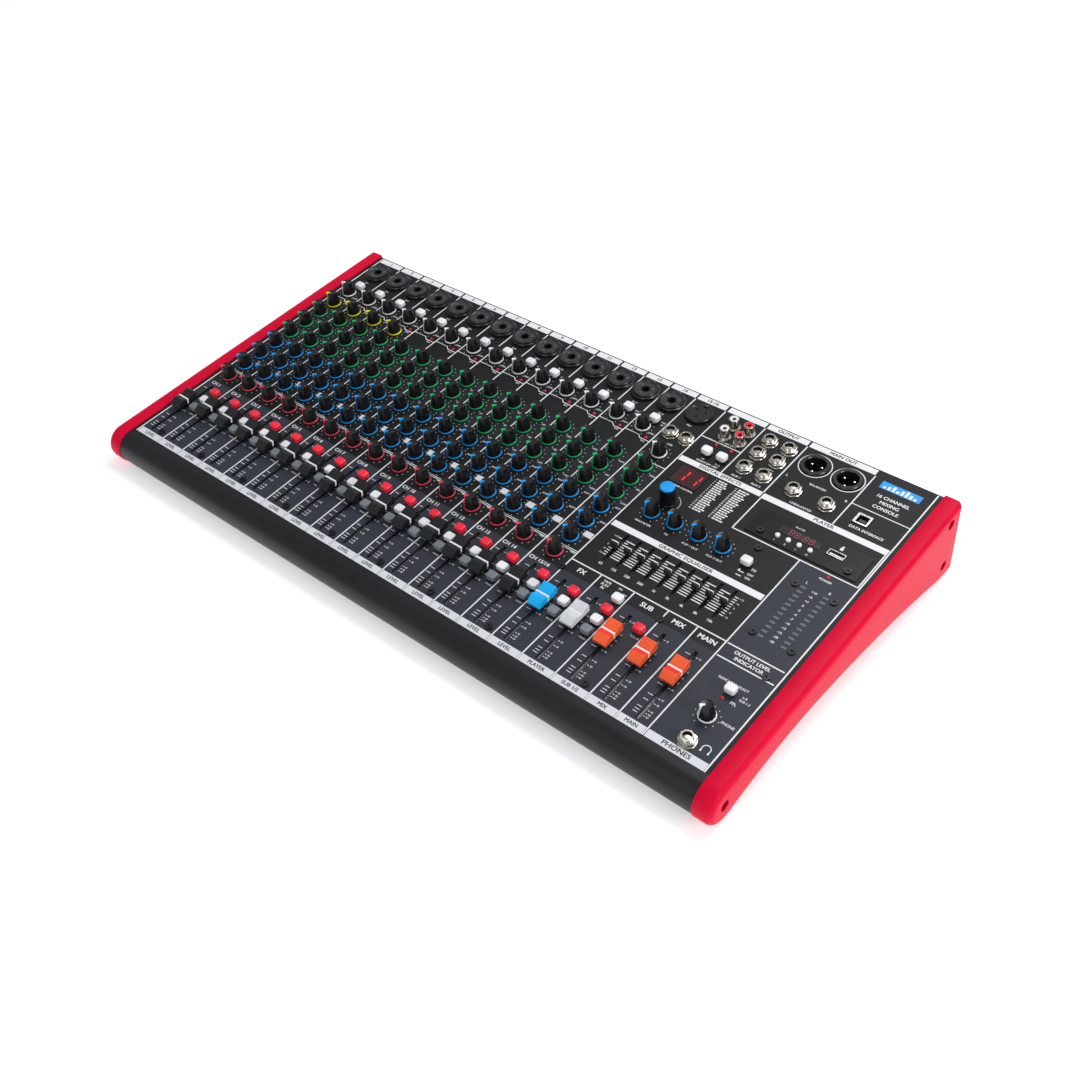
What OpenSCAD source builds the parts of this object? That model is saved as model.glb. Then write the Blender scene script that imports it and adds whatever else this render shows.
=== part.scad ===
// A sixteen-channel mixing console: sloping control panel, rolled front, two side cheeks.
// Millimetres. X runs left to right, Y front to back, Z up.
// The origin is on the table, under the middle of the console's outer box.
// Controls are placed in panel coordinates: x from the left edge of the panel's printed frame,
// y up the slope from the front of the label bar, and h square to the panel's top face.

/* [Case] */
// Slope of the control panel, in degrees
tilt = 7; // [5:0.5:9]
// Width of the panel's printed frame
frame_w = 576.6; // [576:0.2:580]
// Bare panel margin between the printed frame and a cheek
margin = 3.9; // [3:0.1:6]
// Length of the panel, front to back
panel_d = 297.7; // [297:0.1:300]
// Thickness of the steel sheet of the panel and front roll
sheet = 1.5; // [1:0.1:2]
// Thickness of the base tray's sheet
tray_t = 1.2; // [0.8:0.1:1.5]
// Height of the rubber feet
foot_h = 3.3; // [3:0.1:6]

/* [Cheeks] */
// Thickness of a side cheek
cheek_t = 15; // [12:0.5:20]
// How far a cheek's top edge stands above the panel
cheek_proud = 1.2; // [0.5:0.1:3]
// Radius of a cheek's round nose
nose_r = 15.6; // [14.8:0.1:16]
// Rounding of a cheek's outer edges
cheek_round = 5; // [2:0.5:6]
// Rise of the arch under a cheek
arch_h = 15.8; // [8:0.2:20]

/* [Faders] */
// Travel of a channel fader, end to end
fader_travel = 58.6; // [45:0.1:60]
// Width of a fader cap
cap_w = 11.3; // [9:0.1:12]
// Length of a fader cap
cap_l = 21; // [18:0.5:22]
// Travel of an equaliser slider, end to end
eq_travel = 24; // [15:0.5:25]

/* [Knobs and buttons] */
// Radius of a knob's coloured skirt
skirt_r = 6.5; // [5.5:0.1:7]
// Height of a channel knob above the panel
knob_h = 13; // [10:0.5:15]
// Radius of a potentiometer shaft
shaft_r = 3; // [2.5:0.1:3.2]
// Travel of a push-button
press = 2; // [1:0.1:2]

/* [Sockets] */
// Radius of a quarter-inch jack's hole
jack_r = 3.25; // [3.2:0.01:3.3]
// Radius of a combination socket's flange
combo_r = 12; // [11.5:0.1:12.5]
// Radius of a phono socket's barrel
phono_r = 4.15; // [4.1:0.01:4.2]

/* [Hidden] */

// A gap between pieces that must not touch, and a running clearance.
gap = 0.3;
running = 0.05;
fine = 48;

// The cheek's flats lie this far inside the nose's tangents, so that they meet at a clear corner.
seam = 0.02;

// ---- Case geometry, in the panel's own frame ----
roll_r = 14.6;
roll_y = -5.2;
nose_y = -5;
cheek_back = 299;
inner_w = frame_w + 2 * margin;
cheek_foot = 30.5;
nose = turned(nose_y, cheek_proud - nose_r);
back_foot_n = (-cheek_foot - cheek_back * sin(tilt)) / cos(tilt);
front_edge = nose[0] - nose_r;
back_edge = turned(cheek_back, back_foot_n)[0];
depth = back_edge - front_edge;
roll = turned(roll_y, -roll_r);
tray_floor = roll[1] - roll_r + sheet;
drop = foot_h - tray_floor;
shift = -(front_edge + back_edge) / 2;
wall_y = 295.4;
arch_peak = 112.5;
arch_front = 2.5;
arch_back = 281.7;

// ---- Depths under the panel's top face ----
board_n = -12;
io_board_n = -20;
board_t = 1.6;
io_y = 232;

// ---- Channel strips: fourteen mono, one stereo, then the master strips ----
pitch = 26;
first_x = 2;
channels = 14;
strip_x = [for (k = [0:channels - 1]) first_x + pitch * k];
stereo_x = first_x + pitch * channels;
master_x = [395.1, 422.9, 452.2];

// ---- Faders ----
fader_low = 12.3;
fader_x = concat([for (x = strip_x) x + 7.9], [377.1, 404.7, 433.7, 462.9, 491.7, 518.2]);
fader_y = [for (i = [0:19]) i == 0 ? 45.5 : i == 7 ? 46.5 : i == 11 ? 53.8 : 50];
fader_colours = concat([for (i = [0:14]) "#1b1b1d"],
                       ["#1796e0", "#d9dce0", "#ff5a22", "#ff5a22", "#ff5a22"]);
slot_w = 3;
slot_front = 8.5;
slot_l = 67;
eq_x = [for (k = [0:8]) 414.9 + 11.8 * k];
eq_y = 121;
eq_slot_l = 30;

// ---- Knobs ----
knob_dx = 10.75;
stereo_knob_x = 380.3;
knob_x = concat([for (x = strip_x) x + knob_dx], [stereo_knob_x]);
pan_at = [for (x = knob_x) [x, 93]];
aux_at = [for (y = [111.2, 129.4, 147.6], x = knob_x) [x, y]];
tone_at = [for (y = [165.8, 184, 202.2], x = knob_x) [x, y]];
gate_at = [for (k = [0:3]) [knob_x[k], 219.5]];
gain_at = concat([for (x = strip_x) [x + knob_dx, 239]], [[stereo_knob_x, 220.5]]);
effects_at = [for (k = [0:3]) [414.9 + 21 * k, 164.3]];
encoder_at = [418.1, 180.2];
phones_at = [553.6, 36.1];

// ---- Push-buttons ----
button_back = 4.4;
button_x = concat([for (x = strip_x) x + pitch - button_back],
                  [for (x = master_x) x - button_back]);
mute_at = concat([for (x = button_x) [x, 68]], [[476.5, 67]]);
route_at = [for (x = button_x) [x, 45.5]];
pad_at = [for (x = strip_x) [x + 15.3, 249.4]];
mode_at = [[447.8, 80.4], [411.4, 240.5], [425.2, 240.5], [500.6, 160.8], [555.3, 60.5]];
white_at = concat([for (x = button_x) [x, 56.6]], pad_at, mode_at);

// ---- Sockets ----
combo_at = [for (x = strip_x) [x + 13.2, 274.8]];
xlr_in_at = [stereo_knob_x, 274.7];
xlr_out_at = [[486.6, 274.7], [514.5, 274.7]];
pin_gap = 0.03;
jack_at = concat([[374.2, 244.3], [388.9, 244.3]],
                 [for (y = [278.2, 261.3, 242.4], x = [443.8, 461.2]) [x, y]],
                 [[487.5, 242.4], [515.5, 242.4], [554.5, 13.2]]);
phono_at = [for (y = [277.4, 264.3], x = [411.5, 425.4]) [x, y]];
usb_b_at = [544.8, 244];
usb_a_at = [547.5, 203.1];

// ---- Display, lamps and player ----
display_at = [415.4, 211];
display_size = [24.7, 20.5];
meter_x = [544.5, 562.6];
meter_y = [for (k = [0:11]) 111.3 + 4.83 * k];
lamp_size = [4.5, 2];
peak_at = [for (x = strip_x) [x + 20.6, 229.7]];
status_at = concat(peak_at, [[411.4, 253], [425.2, 253], [553.6, 182.1], [553.2, 53.5]]);
player_low = [480, 188.5];
player_size = [91, 26];
player_window = [500.5, 200, 34.7, 8.2];
player_keys = [for (k = [0:3]) [503.4 + 8.95 * k, 196.4]];
key_r = 1.9;
key_press = 0.5;
player_screws = [[490.3, 194], [562, 194]];
player_plate = 0.8;

// ---- Fixing screws ----
screw_at = concat([for (k = [0:5]) [21.2 + 52.1 * k, 10.5]],
                  [[333, 10.5], [388.9, 10.5], [474.3, 10.5], [394.2, 84], [481.5, 84],
                   [567, 83.6], [499, 178.6], [538.4, 164.4], [569, 164.4],
                   [538.4, 111.3], [569, 111.3]]);
screw_r = 1.5;
cheek_screw_at = [[281.7, -7], [280.5, -49], [-5, -14]];

// ---- Rear fittings ----
inlet_x = 520;
rocker_x = 478;
inlet_n = -34;
rocker_axis = [rocker_x, wall_y + 1, inlet_n];

// A panel point (y, n) turned by the slope into level coordinates, before centring.
function turned(y, n) = [y * cos(tilt) - n * sin(tilt), y * sin(tilt) + n * cos(tilt)];
function board_under(y) = y > io_y ? io_board_n : board_n;

module on_panel() {
    translate([-frame_w / 2, shift, drop]) rotate([tilt, 0, 0]) children();
}

module at_all(points) {
    for (p = points) translate([p[0], p[1], 0]) children();
}

module post(size, low, high) {
    translate([-size[0] / 2, -size[1] / 2, low]) cube([size[0], size[1], high - low]);
}

module disc(r, low, high) {
    translate([0, 0, low]) cylinder(r = r, h = high - low, $fn = fine);
}

// ---- Case ----
module panel_holes() {
    at_all(concat(pan_at, aux_at, tone_at, gate_at, gain_at, effects_at,
                  [encoder_at, phones_at])) circle(r = shaft_r + 0.5, $fn = 24);
    at_all(concat(mute_at, route_at, white_at)) square(4.2, center = true);
    for (x = fader_x) translate([x - slot_w / 2, slot_front]) square([slot_w, slot_l]);
    for (x = eq_x) translate([x - 1.1, eq_y - eq_slot_l / 2]) square([2.2, eq_slot_l]);
    at_all(combo_at) circle(r = 11.2, $fn = fine);
    at_all(concat([xlr_in_at], xlr_out_at)) circle(r = 10.6, $fn = fine);
    at_all(jack_at) circle(r = 5, $fn = 32);
    at_all(phono_at) circle(r = 3.6, $fn = 32);
    at_all([usb_b_at]) square([12.6, 11.5], center = true);
    at_all([display_at]) square(display_size + [0.4, 0.4], center = true);
    for (x = meter_x, y = meter_y) translate([x, y])
        square(lamp_size + [0.2, 0.2], center = true);
    at_all(status_at) circle(r = 1.6, $fn = 24);
    translate(player_low + [14, 3]) square(player_size - [28, 6]);
    at_all(concat(screw_at, player_screws)) circle(r = screw_r + 0.1, $fn = 24);
}

module top_panel() {
    color("#26282c") on_panel() translate([0, 0, -sheet]) linear_extrude(sheet) difference() {
        translate([-margin, 0]) square([inner_w, panel_d]);
        panel_holes();
    }
}

module roll_profile() {
    difference() {
        translate(roll) circle(r = roll_r, $fn = 144);
        translate(roll) circle(r = roll_r - sheet, $fn = 144);
        rotate(tilt) translate([roll_y, -2 * roll_r]) square(2.2 * roll_r);
        translate([roll[0], roll[1] - 1.5 * roll_r]) square(2 * roll_r);
    }
    rotate(tilt) translate([roll_y, -sheet]) square([-roll_y, sheet]);
    translate([roll[0], roll[1] - roll_r]) square([14, sheet]);
}

module front_roll() {
    color("#202124") translate([0, shift, drop]) rotate([90, 0, 90])
        translate([0, 0, -inner_w / 2]) linear_extrude(inner_w) roll_profile();
}

module side_wall() {
    top = -sheet;
    corners = [turned(6, top), turned(wall_y, top),
               [turned(wall_y, back_foot_n)[0], tray_floor], [roll[0] + 6, tray_floor]];
    difference() {
        polygon(corners);
        for (p = cheek_screw_at) if (p[0] > 0) translate(turned(p[0], p[1]))
            circle(r = 2.2, $fn = 24);
    }
}

module base_tray() {
    floor_front = roll[0] + 1;
    wall_foot = turned(wall_y, back_foot_n)[0];
    color("#2c2d30") {
        translate([-inner_w / 2, shift + floor_front, drop + tray_floor])
            cube([inner_w, wall_foot - floor_front, tray_t]);
        for (side = [-1, 1]) translate([side * (inner_w - tray_t) / 2, shift, drop])
            rotate([90, 0, 90]) translate([0, 0, -tray_t / 2]) linear_extrude(tray_t) side_wall();
        on_panel() difference() {
            wall_low = back_foot_n + 5.3;
            translate([-margin, wall_y, wall_low])
                cube([inner_w, tray_t, -sheet - wall_low]);
            rear_openings();
        }
    }
}

module rear_openings() {
    translate([inlet_x - 13.9, wall_y - 1, inlet_n - 10.4]) cube([27.8, 4, 20.8]);
    translate([rocker_x - 7, wall_y - 1, inlet_n - 10.4]) cube([14, 4, 20.8]);
    for (bank = [0, 1], k = [0:9])
        translate([60 + 160 * bank + 7 * k, wall_y - 1, -44]) cube([3, 4, 24]);
}

// A cheek's side view without its arch, drawn in by an inset all round.
module cheek_outline(inset) {
    top = cheek_proud - inset - seam;
    back = cheek_back - inset;
    foot = nose[1] - nose_r + inset + seam;
    translate(nose) circle(r = nose_r - inset, $fn = 120);
    polygon([turned(nose_y, top), turned(back, top),
             [turned(back, back_foot_n)[0], foot], [nose[0], foot]]);
}

// Half of the arch: an arc that falls from the peak to the foot line over a given run.
module arch_half(run, side) {
    r = (run * run + arch_h * arch_h) / (2 * arch_h);
    foot = nose[1] - nose_r;
    intersection() {
        translate([arch_peak, foot + arch_h - r]) circle(r = r, $fn = 720);
        translate([side > 0 ? arch_peak : arch_peak - 2 * run, foot - 1])
            square([2 * run, arch_h + 2]);
    }
}

// A cheek, with its outer edge rounded in fine steps.
module cheek_solid() {
    difference() {
        for (a = [0:18:90]) linear_extrude(cheek_t - cheek_round * (1 - sin(a)))
            cheek_outline(cheek_round * (1 - cos(a)));
        translate([0, 0, -1]) linear_extrude(cheek_t + 2) {
            arch_half(arch_peak - arch_front, -1);
            arch_half(arch_back - arch_peak, 1);
        }
        for (p = cheek_screw_at) translate(turned(p[0], p[1])) {
            translate([0, 0, -1]) cylinder(r = 2.2, h = cheek_t + 2, $fn = 24);
            translate([0, 0, cheek_t - 5]) cylinder(r = 4.2, h = 6, $fn = 32);
        }
    }
}

module cheek(side) {
    translate([side * inner_w / 2, shift, drop]) mirror([side < 0 ? 1 : 0, 0, 0])
        rotate([90, 0, 90]) children();
}

module left_cheek() {
    color("#d8102f") cheek(-1) cheek_solid();
}

module right_cheek() {
    color("#d8102f") cheek(1) cheek_solid();
}

module cheek_screws() {
    color("#3a3a3d") for (side = [-1, 1], p = cheek_screw_at) cheek(side)
        translate(turned(p[0], p[1])) difference() {
            union() {
                disc(2, p[0] > 0 ? -6 : 0.2, cheek_t - 5);
                disc(3.8, cheek_t - 5, cheek_t - 2.6);
            }
            for (a = [0, 90]) rotate(a) post([4.4, 0.9], cheek_t - 3.8, cheek_t);
        }
}

module panel_screw(seat) {
    difference() {
        union() {
            disc(2.8, seat, seat + 1.3);
            disc(screw_r, -4, seat);
        }
        for (a = [45, 135]) rotate(a) post([3.2, 0.7], seat + 0.5, seat + 2);
    }
}

module panel_screws() {
    color("#1d1d1f") on_panel() {
        at_all(screw_at) panel_screw(0);
        at_all(player_screws) panel_screw(player_plate);
    }
}

module rubber_feet() {
    color("#151515") for (x = [-250, 250], y = [30, 282])
        translate([x, shift + y, 0]) cylinder(r1 = 8, r2 = 9, h = foot_h, $fn = fine);
}

// ---- Inside ----
module circuit_boards() {
    color("#1f6b3a") on_panel() {
        translate([2, 4, board_n - board_t]) cube([frame_w - 4, io_y - 8, board_t]);
        translate([2, io_y, io_board_n - board_t])
            cube([frame_w - 4, wall_y - io_y - 2, board_t]);
    }
}

module slide_pot(width, length, channel) {
    difference() {
        post([width, length], board_n, -2.6);
        post([channel, length - 6], -6.8, 0);
    }
}

module slide_pots() {
    color("#9a9ca0") on_panel() {
        for (x = fader_x) translate([x, slot_front + slot_l / 2, 0])
            slide_pot(9, slot_l + 10, 2.4);
        for (x = eq_x) translate([x, eq_y, 0]) slide_pot(7, eq_slot_l + 9, 2.2);
    }
}

module rotary_pot(low) {
    difference() {
        union() {
            post([9.6, 11], low, -5);
            disc(4.2, -5, -sheet - 0.1);
        }
        disc(shaft_r + running, -9, 0);
    }
}

module rotary_pots() {
    color("#8c8f94") on_panel() for (p = concat(pan_at, aux_at, tone_at, gate_at, gain_at,
                                                effects_at, [encoder_at, phones_at]))
        translate([p[0], p[1], 0]) rotary_pot(board_under(p[1]));
}

module push_switches() {
    color("#dadcdf") on_panel() for (p = concat(mute_at, route_at, white_at))
        translate([p[0], p[1], 0]) difference() {
            post([7, 7.4], board_under(p[1]), -4);
            post([3.6, 3.6], -9, 0);
        }
}

// A ring transformer on its bolt, and a rectifier board on four pillars.
module power_supply() {
    color("#b07a30") translate([0, shift, drop + tray_floor + tray_t]) {
        translate([60, 238, 0]) {
            difference() {
                cylinder(r = 32, h = 21, $fn = 96);
                translate([0, 0, -1]) cylinder(r = 9.5, h = 23, $fn = fine);
            }
            cylinder(r = 9.4, h = 23, $fn = fine);
        }
        translate([110, 215, 5]) cube([70, 60, board_t]);
        for (x = [115, 175], y = [220, 270]) translate([x, y, 0])
            cylinder(r = 2.5, h = 5, $fn = 32);
        for (x = [124, 143, 162]) translate([x, 236, 5 + board_t])
            cylinder(r = 6, h = 16, $fn = 32);
    }
}

// ---- Sockets ----
module combo_socket() {
    difference() {
        union() {
            disc(combo_r, 0, 2.2);
            disc(10.6, 2.2, 4);
            disc(10.9, io_board_n, 0);
        }
        disc(8.75, 3.2, 5);
        disc(jack_r, 0.4, 4);
        disc(4, -17, 0.4);
        for (a = [30, 150, 270]) rotate(a) translate([5.8, 0, 0]) disc(1.4, -12, 4);
    }
}

module xlr_inlet() {
    difference() {
        union() {
            disc(11.4, 0, 2.6);
            disc(10.4, io_board_n, 0);
        }
        for (a = [30, 150, 270]) rotate(a) translate([4.9, 0, 0]) disc(1.4, -14, 3);
    }
}

// The combined sockets of the mono channels and the stereo channel's three-pin socket.
module combo_sockets() {
    color("#161617") on_panel() {
        at_all(combo_at) combo_socket();
        at_all([xlr_in_at]) xlr_inlet();
    }
}

module xlr_outlet() {
    difference() {
        union() {
            disc(11.4, 0, 1.4);
            disc(10.4, io_board_n, 0);
        }
        disc(8.1, -13, 2);
    }
    for (a = [30, 150, 270]) rotate(a) translate([4.9, 0, 0]) disc(1.2, -13 + pin_gap, -1.5);
}

module xlr_sockets() {
    color("#1b1b1d") on_panel() at_all(xlr_out_at) xlr_outlet();
}

module jack_socket(low) {
    difference() {
        union() {
            disc(4.8, -sheet - 0.1, 5.5);
            post([12, 15], low, -sheet - 0.1);
        }
        disc(jack_r, 0.5, 6);
        disc(3.9, -11, 0.5);
    }
}

module jack_sockets() {
    color("#c9c2b0") on_panel() for (p = jack_at) translate([p[0], p[1], 0])
        jack_socket(board_under(p[1]));
}

module jack_nuts() {
    color("#cfc8b6") on_panel() at_all(jack_at) difference() {
        union() {
            disc(6.9, 0, 0.8);
            translate([0, 0, 0.8]) cylinder(r = 6.75, h = 2.4, $fn = 6);
        }
        disc(4.8 + running, -1, 4);
    }
}

module phono_sockets() {
    color("#d0cec8") on_panel() at_all(phono_at) difference() {
        union() {
            disc(5.4, 0, 1.2);
            disc(phono_r, 1.2, 9.6);
            disc(3.4, io_board_n, 0);
        }
        disc(1.65, 1, 10);
    }
}

module usb_shell(outer, inner, tongue, low, high) {
    difference() {
        post(outer, low, high);
        post(inner, low + 1.5, high + 1);
    }
    post(tongue, low, high - 2);
}

module usb_sockets() {
    color("#c4c7cc") on_panel() {
        at_all([usb_b_at]) usb_shell([12, 10.9], [8.5, 7.8], [5.6, 3.2], io_board_n, 0.8);
        at_all([usb_a_at]) usb_shell([13.2, 5.8], [12.3, 4.9], [10.8, 1.9], -12, 1.6);
    }
}

// ---- Player, display and lamps ----
module player_module() {
    color("#141416") on_panel() difference() {
        union() {
            translate([player_low[0], player_low[1], 0])
                cube([player_size[0], player_size[1], player_plate]);
            translate([player_window[0], player_window[1], -8])
                cube([player_window[2], player_window[3], 9]);
            translate([player_low[0] + 8, player_low[1] + 4, -8 - board_t])
                cube([player_size[0] - 16, player_size[1] - 8, board_t]);
        }
        at_all(player_keys) disc(key_r + gap, -5, 2);
        at_all([usb_a_at]) post([13.4, 6], -10, 2);
        at_all(player_screws) disc(screw_r + 0.1, -12, 2);
    }
}

module player_buttons() {
    color("#f2f3f5") on_panel() at_all(player_keys) disc(key_r, -1.4, 2.4);
}

module program_display() {
    color("#5a0c10") on_panel() at_all([display_at]) post(display_size, -10, 0.4);
}

module indicator_lamps() {
    color("#cfd3d8") on_panel() {
        for (x = meter_x, y = meter_y) translate([x, y, 0]) post(lamp_size, -8, 0.3);
        at_all(status_at) disc(1.5, -8, 0.9);
    }
}

// ---- Rear fittings ----
module mains_inlet() {
    color("#17181a") on_panel() translate([0, wall_y, inlet_n]) {
        translate([inlet_x, 0, 0]) difference() {
            union() {
                translate([-13.6, -19, -10.1]) cube([27.2, 19 + tray_t, 20.2]);
                translate([-16, tray_t, -12]) cube([32, 1.5, 24]);
            }
            translate([-12, -16, -8.2]) cube([24, 25, 16.4]);
        }
        for (blade = [[-7, -2.5], [7, -2.5], [0, 3.5]])
            translate([inlet_x + blade[0] - 1, -17, blade[1] - 2]) cube([2, 14, 4]);
        translate([rocker_x, 0, 0]) difference() {
            union() {
                translate([-6.8, -15, -10.1]) cube([13.6, 15 + tray_t, 20.2]);
                translate([-8, tray_t, -11.6]) cube([16, 1.3, 23.2]);
            }
            translate([-5, -10, -8.8]) cube([10, 20, 17.6]);
            translate([-6, 1, 0]) rotate([0, 90, 0])
                cylinder(r = 1.2 + running, h = 12, $fn = 24);
        }
    }
}

module power_switch() {
    color("#b3121f") on_panel() translate(rocker_axis) {
        rotate([10, 0, 0]) translate([-4.6, -3, -7.8]) cube([9.2, 5.4, 15.6]);
        translate([-5.8, 0, 0]) rotate([0, 90, 0]) cylinder(r = 1.2, h = 11.6, $fn = 24);
    }
}

// ---- Knobs ----
module knob() {
    disc(skirt_r, 0.5, 1.8);
    translate([0, 0, 1.8]) cylinder(r1 = 5.4, r2 = 4.3, h = knob_h - 1.8, $fn = fine);
    disc(shaft_r, -8, 0.5);
}

module gain_knobs() {
    color("#e8eaee") on_panel() at_all(gain_at) knob();
}

module tone_knobs() {
    color("#1fa55a") on_panel() at_all(tone_at) knob();
}

module aux_knobs() {
    color("#1c8fd8") on_panel() at_all(aux_at) knob();
}

module pan_knobs() {
    color("#c8434c") on_panel() at_all(pan_at) knob();
}

module gate_knobs() {
    color("#dcd42c") on_panel() at_all(gate_at) knob();
}

module effects_knob(index) {
    color("#1c8fd8") on_panel() at_all([effects_at[index]]) knob();
}

module phones_knob() {
    color("#e8eaee") on_panel() at_all([phones_at]) knob();
}

module effects_encoder() {
    color("#1c8fd8") on_panel() at_all([encoder_at]) {
        disc(6.9, 0.5, 2);
        translate([0, 0, 2]) cylinder(r1 = 6.2, r2 = 5.6, h = 14, $fn = fine);
        disc(5, 16, 17);
        disc(shaft_r, -8, 0.5);
    }
}

// ---- Buttons ----
module button() {
    post([8.3, 7], press + 0.4, 6.2);
    post([3, 3], -6.5, press + 0.4);
}

module mute_buttons() {
    color("#e8233a") on_panel() at_all(mute_at) button();
}

module route_buttons() {
    color("#82878f") on_panel() at_all(route_at) button();
}

module white_buttons() {
    color("#f2f3f5") on_panel() at_all(white_at) button();
}

// ---- Faders ----
// Side view of a cap: a crest at each end and a finger hollow between them.
module cap_profile() {
    half = cap_l / 2;
    polygon([[-half, 4], [half, 4], [half, 9.5], [half - 2, 11], [1, 8.4], [0, 8.4],
             [-4.6, 10.4], [-half, 6.2]]);
}

module fader(index) {
    color(fader_colours[index]) on_panel() translate([fader_x[index], fader_y[index], 0]) {
        rotate([90, 0, 90]) translate([0, 0, -cap_w / 2]) linear_extrude(cap_w) cap_profile();
        post([1.2, 5], -5.4, 4);
    }
}

module eq_sliders() {
    color("#1c1c1e") on_panel() for (x = eq_x) translate([x, eq_y, 0]) {
        post([5, 7], 2, 7.5);
        post([1, 3], -5, 2);
    }
}

top_panel();
front_roll();
base_tray();
left_cheek();
right_cheek();
cheek_screws();
panel_screws();
rubber_feet();
circuit_boards();
slide_pots();
rotary_pots();
push_switches();
combo_sockets();
xlr_sockets();
jack_sockets();
jack_nuts();
phono_sockets();
usb_sockets();
player_module();
program_display();
indicator_lamps();
power_supply();
mains_inlet();
gain_knobs();
tone_knobs();
aux_knobs();
pan_knobs();
gate_knobs();
for (i = [1:20]) fader(i - 1);
eq_sliders();
effects_encoder();
for (i = [1:4]) effects_knob(i - 1);
phones_knob();
power_switch();
mute_buttons();
route_buttons();
white_buttons();
player_buttons();
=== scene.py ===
"""A sixteen-channel mixing console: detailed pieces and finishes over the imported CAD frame."""
import logging
import math
from dataclasses import dataclass
from enum import Enum
from typing import Any, Callable, Iterable, Sequence

import bmesh
import bpy
from bmesh.types import BMEdge, BMesh, BMVert
from bpy.types import Material, Mesh, Object
from mathutils import Matrix, Vector


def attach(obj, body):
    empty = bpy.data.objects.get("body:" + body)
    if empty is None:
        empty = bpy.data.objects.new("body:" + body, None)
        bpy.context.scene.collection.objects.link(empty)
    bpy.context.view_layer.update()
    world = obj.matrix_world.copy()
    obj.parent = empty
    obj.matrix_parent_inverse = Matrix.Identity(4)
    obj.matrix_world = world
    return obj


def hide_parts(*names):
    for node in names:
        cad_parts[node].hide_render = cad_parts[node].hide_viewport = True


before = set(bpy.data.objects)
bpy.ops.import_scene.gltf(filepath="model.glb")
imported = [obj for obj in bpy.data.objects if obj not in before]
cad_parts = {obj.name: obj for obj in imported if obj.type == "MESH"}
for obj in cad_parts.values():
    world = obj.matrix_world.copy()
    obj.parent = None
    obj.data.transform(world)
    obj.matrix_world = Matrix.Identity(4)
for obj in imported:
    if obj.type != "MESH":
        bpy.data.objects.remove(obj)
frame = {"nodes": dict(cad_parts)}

LOG = logging.getLogger("console")
MM = 0.001
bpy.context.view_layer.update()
Point = tuple[float, float]
Colour = tuple[float, float, float]


# ---------------------------------------------------------------- layout

@dataclass(frozen=True)
class Layout:
    """Where everything stands on the sloping panel, in millimetres up the slope and across."""

    tilt: float = 7.0
    shift: float = -143.0913
    drop: float = 31.5249
    frame_w: float = 576.6
    panel_d: float = 297.7
    margin: float = 3.9
    pitch: float = 26.0
    first: float = 2.0
    channels: int = 14
    knob_dx: float = 10.75
    fader_dx: float = 7.9
    button_inset: float = 4.4
    stereo_knob: float = 380.3
    stereo_left: float = 366.0
    master_left: float = 395.1
    wide_faders: tuple[float, ...] = (377.1, 404.7, 433.7, 462.9, 491.7, 518.2)
    wide_buttons: tuple[float, ...] = (390.7, 418.5, 447.8)
    fader_rest: float = 50.0
    moved_faders: tuple[tuple[int, float], ...] = ((0, 45.5), (7, 46.5), (11, 53.8))

    def panel(self) -> Matrix:
        """The matrix that takes panel millimetres to metres in the console's frame."""
        corner = (-self.frame_w / 2, self.shift, self.drop)
        return (Matrix.Scale(MM, 4) @ Matrix.Translation(corner)
                @ Matrix.Rotation(math.radians(self.tilt), 4, "X"))

    def level(self) -> Matrix:
        """The matrix that takes untilted millimetres, centred across, to metres."""
        return Matrix.Scale(MM, 4) @ Matrix.Translation((0, self.shift, self.drop))

    @property
    def half_width(self) -> float:
        """Half the width between the cheeks."""
        return self.frame_w / 2 + self.margin

    def turned(self, y: float, n: float) -> Point:
        """A panel point in untilted millimetres, before centring."""
        a = math.radians(self.tilt)
        return y * math.cos(a) - n * math.sin(a), y * math.sin(a) + n * math.cos(a)

    @property
    def strips(self) -> list[float]:
        """The left edge of each mono channel strip."""
        return [self.first + self.pitch * k for k in range(self.channels)]

    @property
    def knob_x(self) -> list[float]:
        """The knob column of each channel strip, the stereo one last."""
        return [x + self.knob_dx for x in self.strips] + [self.stereo_knob]

    @property
    def fader_x(self) -> list[float]:
        """The slot of each long fader."""
        return [x + self.fader_dx for x in self.strips] + list(self.wide_faders)

    @property
    def fader_y(self) -> list[float]:
        """Where each long fader's cap stands at rest."""
        moved = dict(self.moved_faders)
        return [moved.get(k, self.fader_rest) for k in range(len(self.fader_x))]

    def grid(self, rows: Sequence[float]) -> list[Point]:
        """One point per channel column and row."""
        return [(x, y) for y in rows for x in self.knob_x]

    @property
    def button_x(self) -> list[float]:
        """The push-button column of each strip."""
        return ([x + self.pitch - self.button_inset for x in self.strips]
                + list(self.wide_buttons))


PLAN = Layout()
ALL_STRIPS: list[float] = PLAN.strips + [PLAN.stereo_left]
PAN_ROWS, AUX_ROWS, TONE_ROWS = (93,), (111.2, 129.4, 147.6), (165.8, 184, 202.2)
GAINS: list[Point] = [(x, 239.0) for x in PLAN.knob_x[:-1]] + [(PLAN.stereo_knob, 220.5)]
GATES: list[Point] = [(x, 219.5) for x in PLAN.knob_x[:4]]
COMBOS: list[Point] = [(x + 13.2, 274.8) for x in PLAN.strips]
XLR_IN: Point = (PLAN.stereo_knob, 274.7)
XLR_OUT: list[Point] = [(486.6, 274.7), (514.5, 274.7)]
JACKS: list[Point] = ([(374.2, 244.3), (388.9, 244.3)]
                      + [(x, y) for y in (278.2, 261.3, 242.4) for x in (443.8, 461.2)]
                      + [(487.5, 242.4), (515.5, 242.4), (554.5, 13.2)])
PHONOS: list[Point] = [(x, y) for y in (277.4, 264.3) for x in (411.5, 425.4)]
EFFECTS: list[Point] = [(414.9 + 21 * k, 164.3) for k in range(4)]
ENCODER: Point = (418.1, 180.2)
PHONES: Point = (553.6, 36.1)
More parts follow.
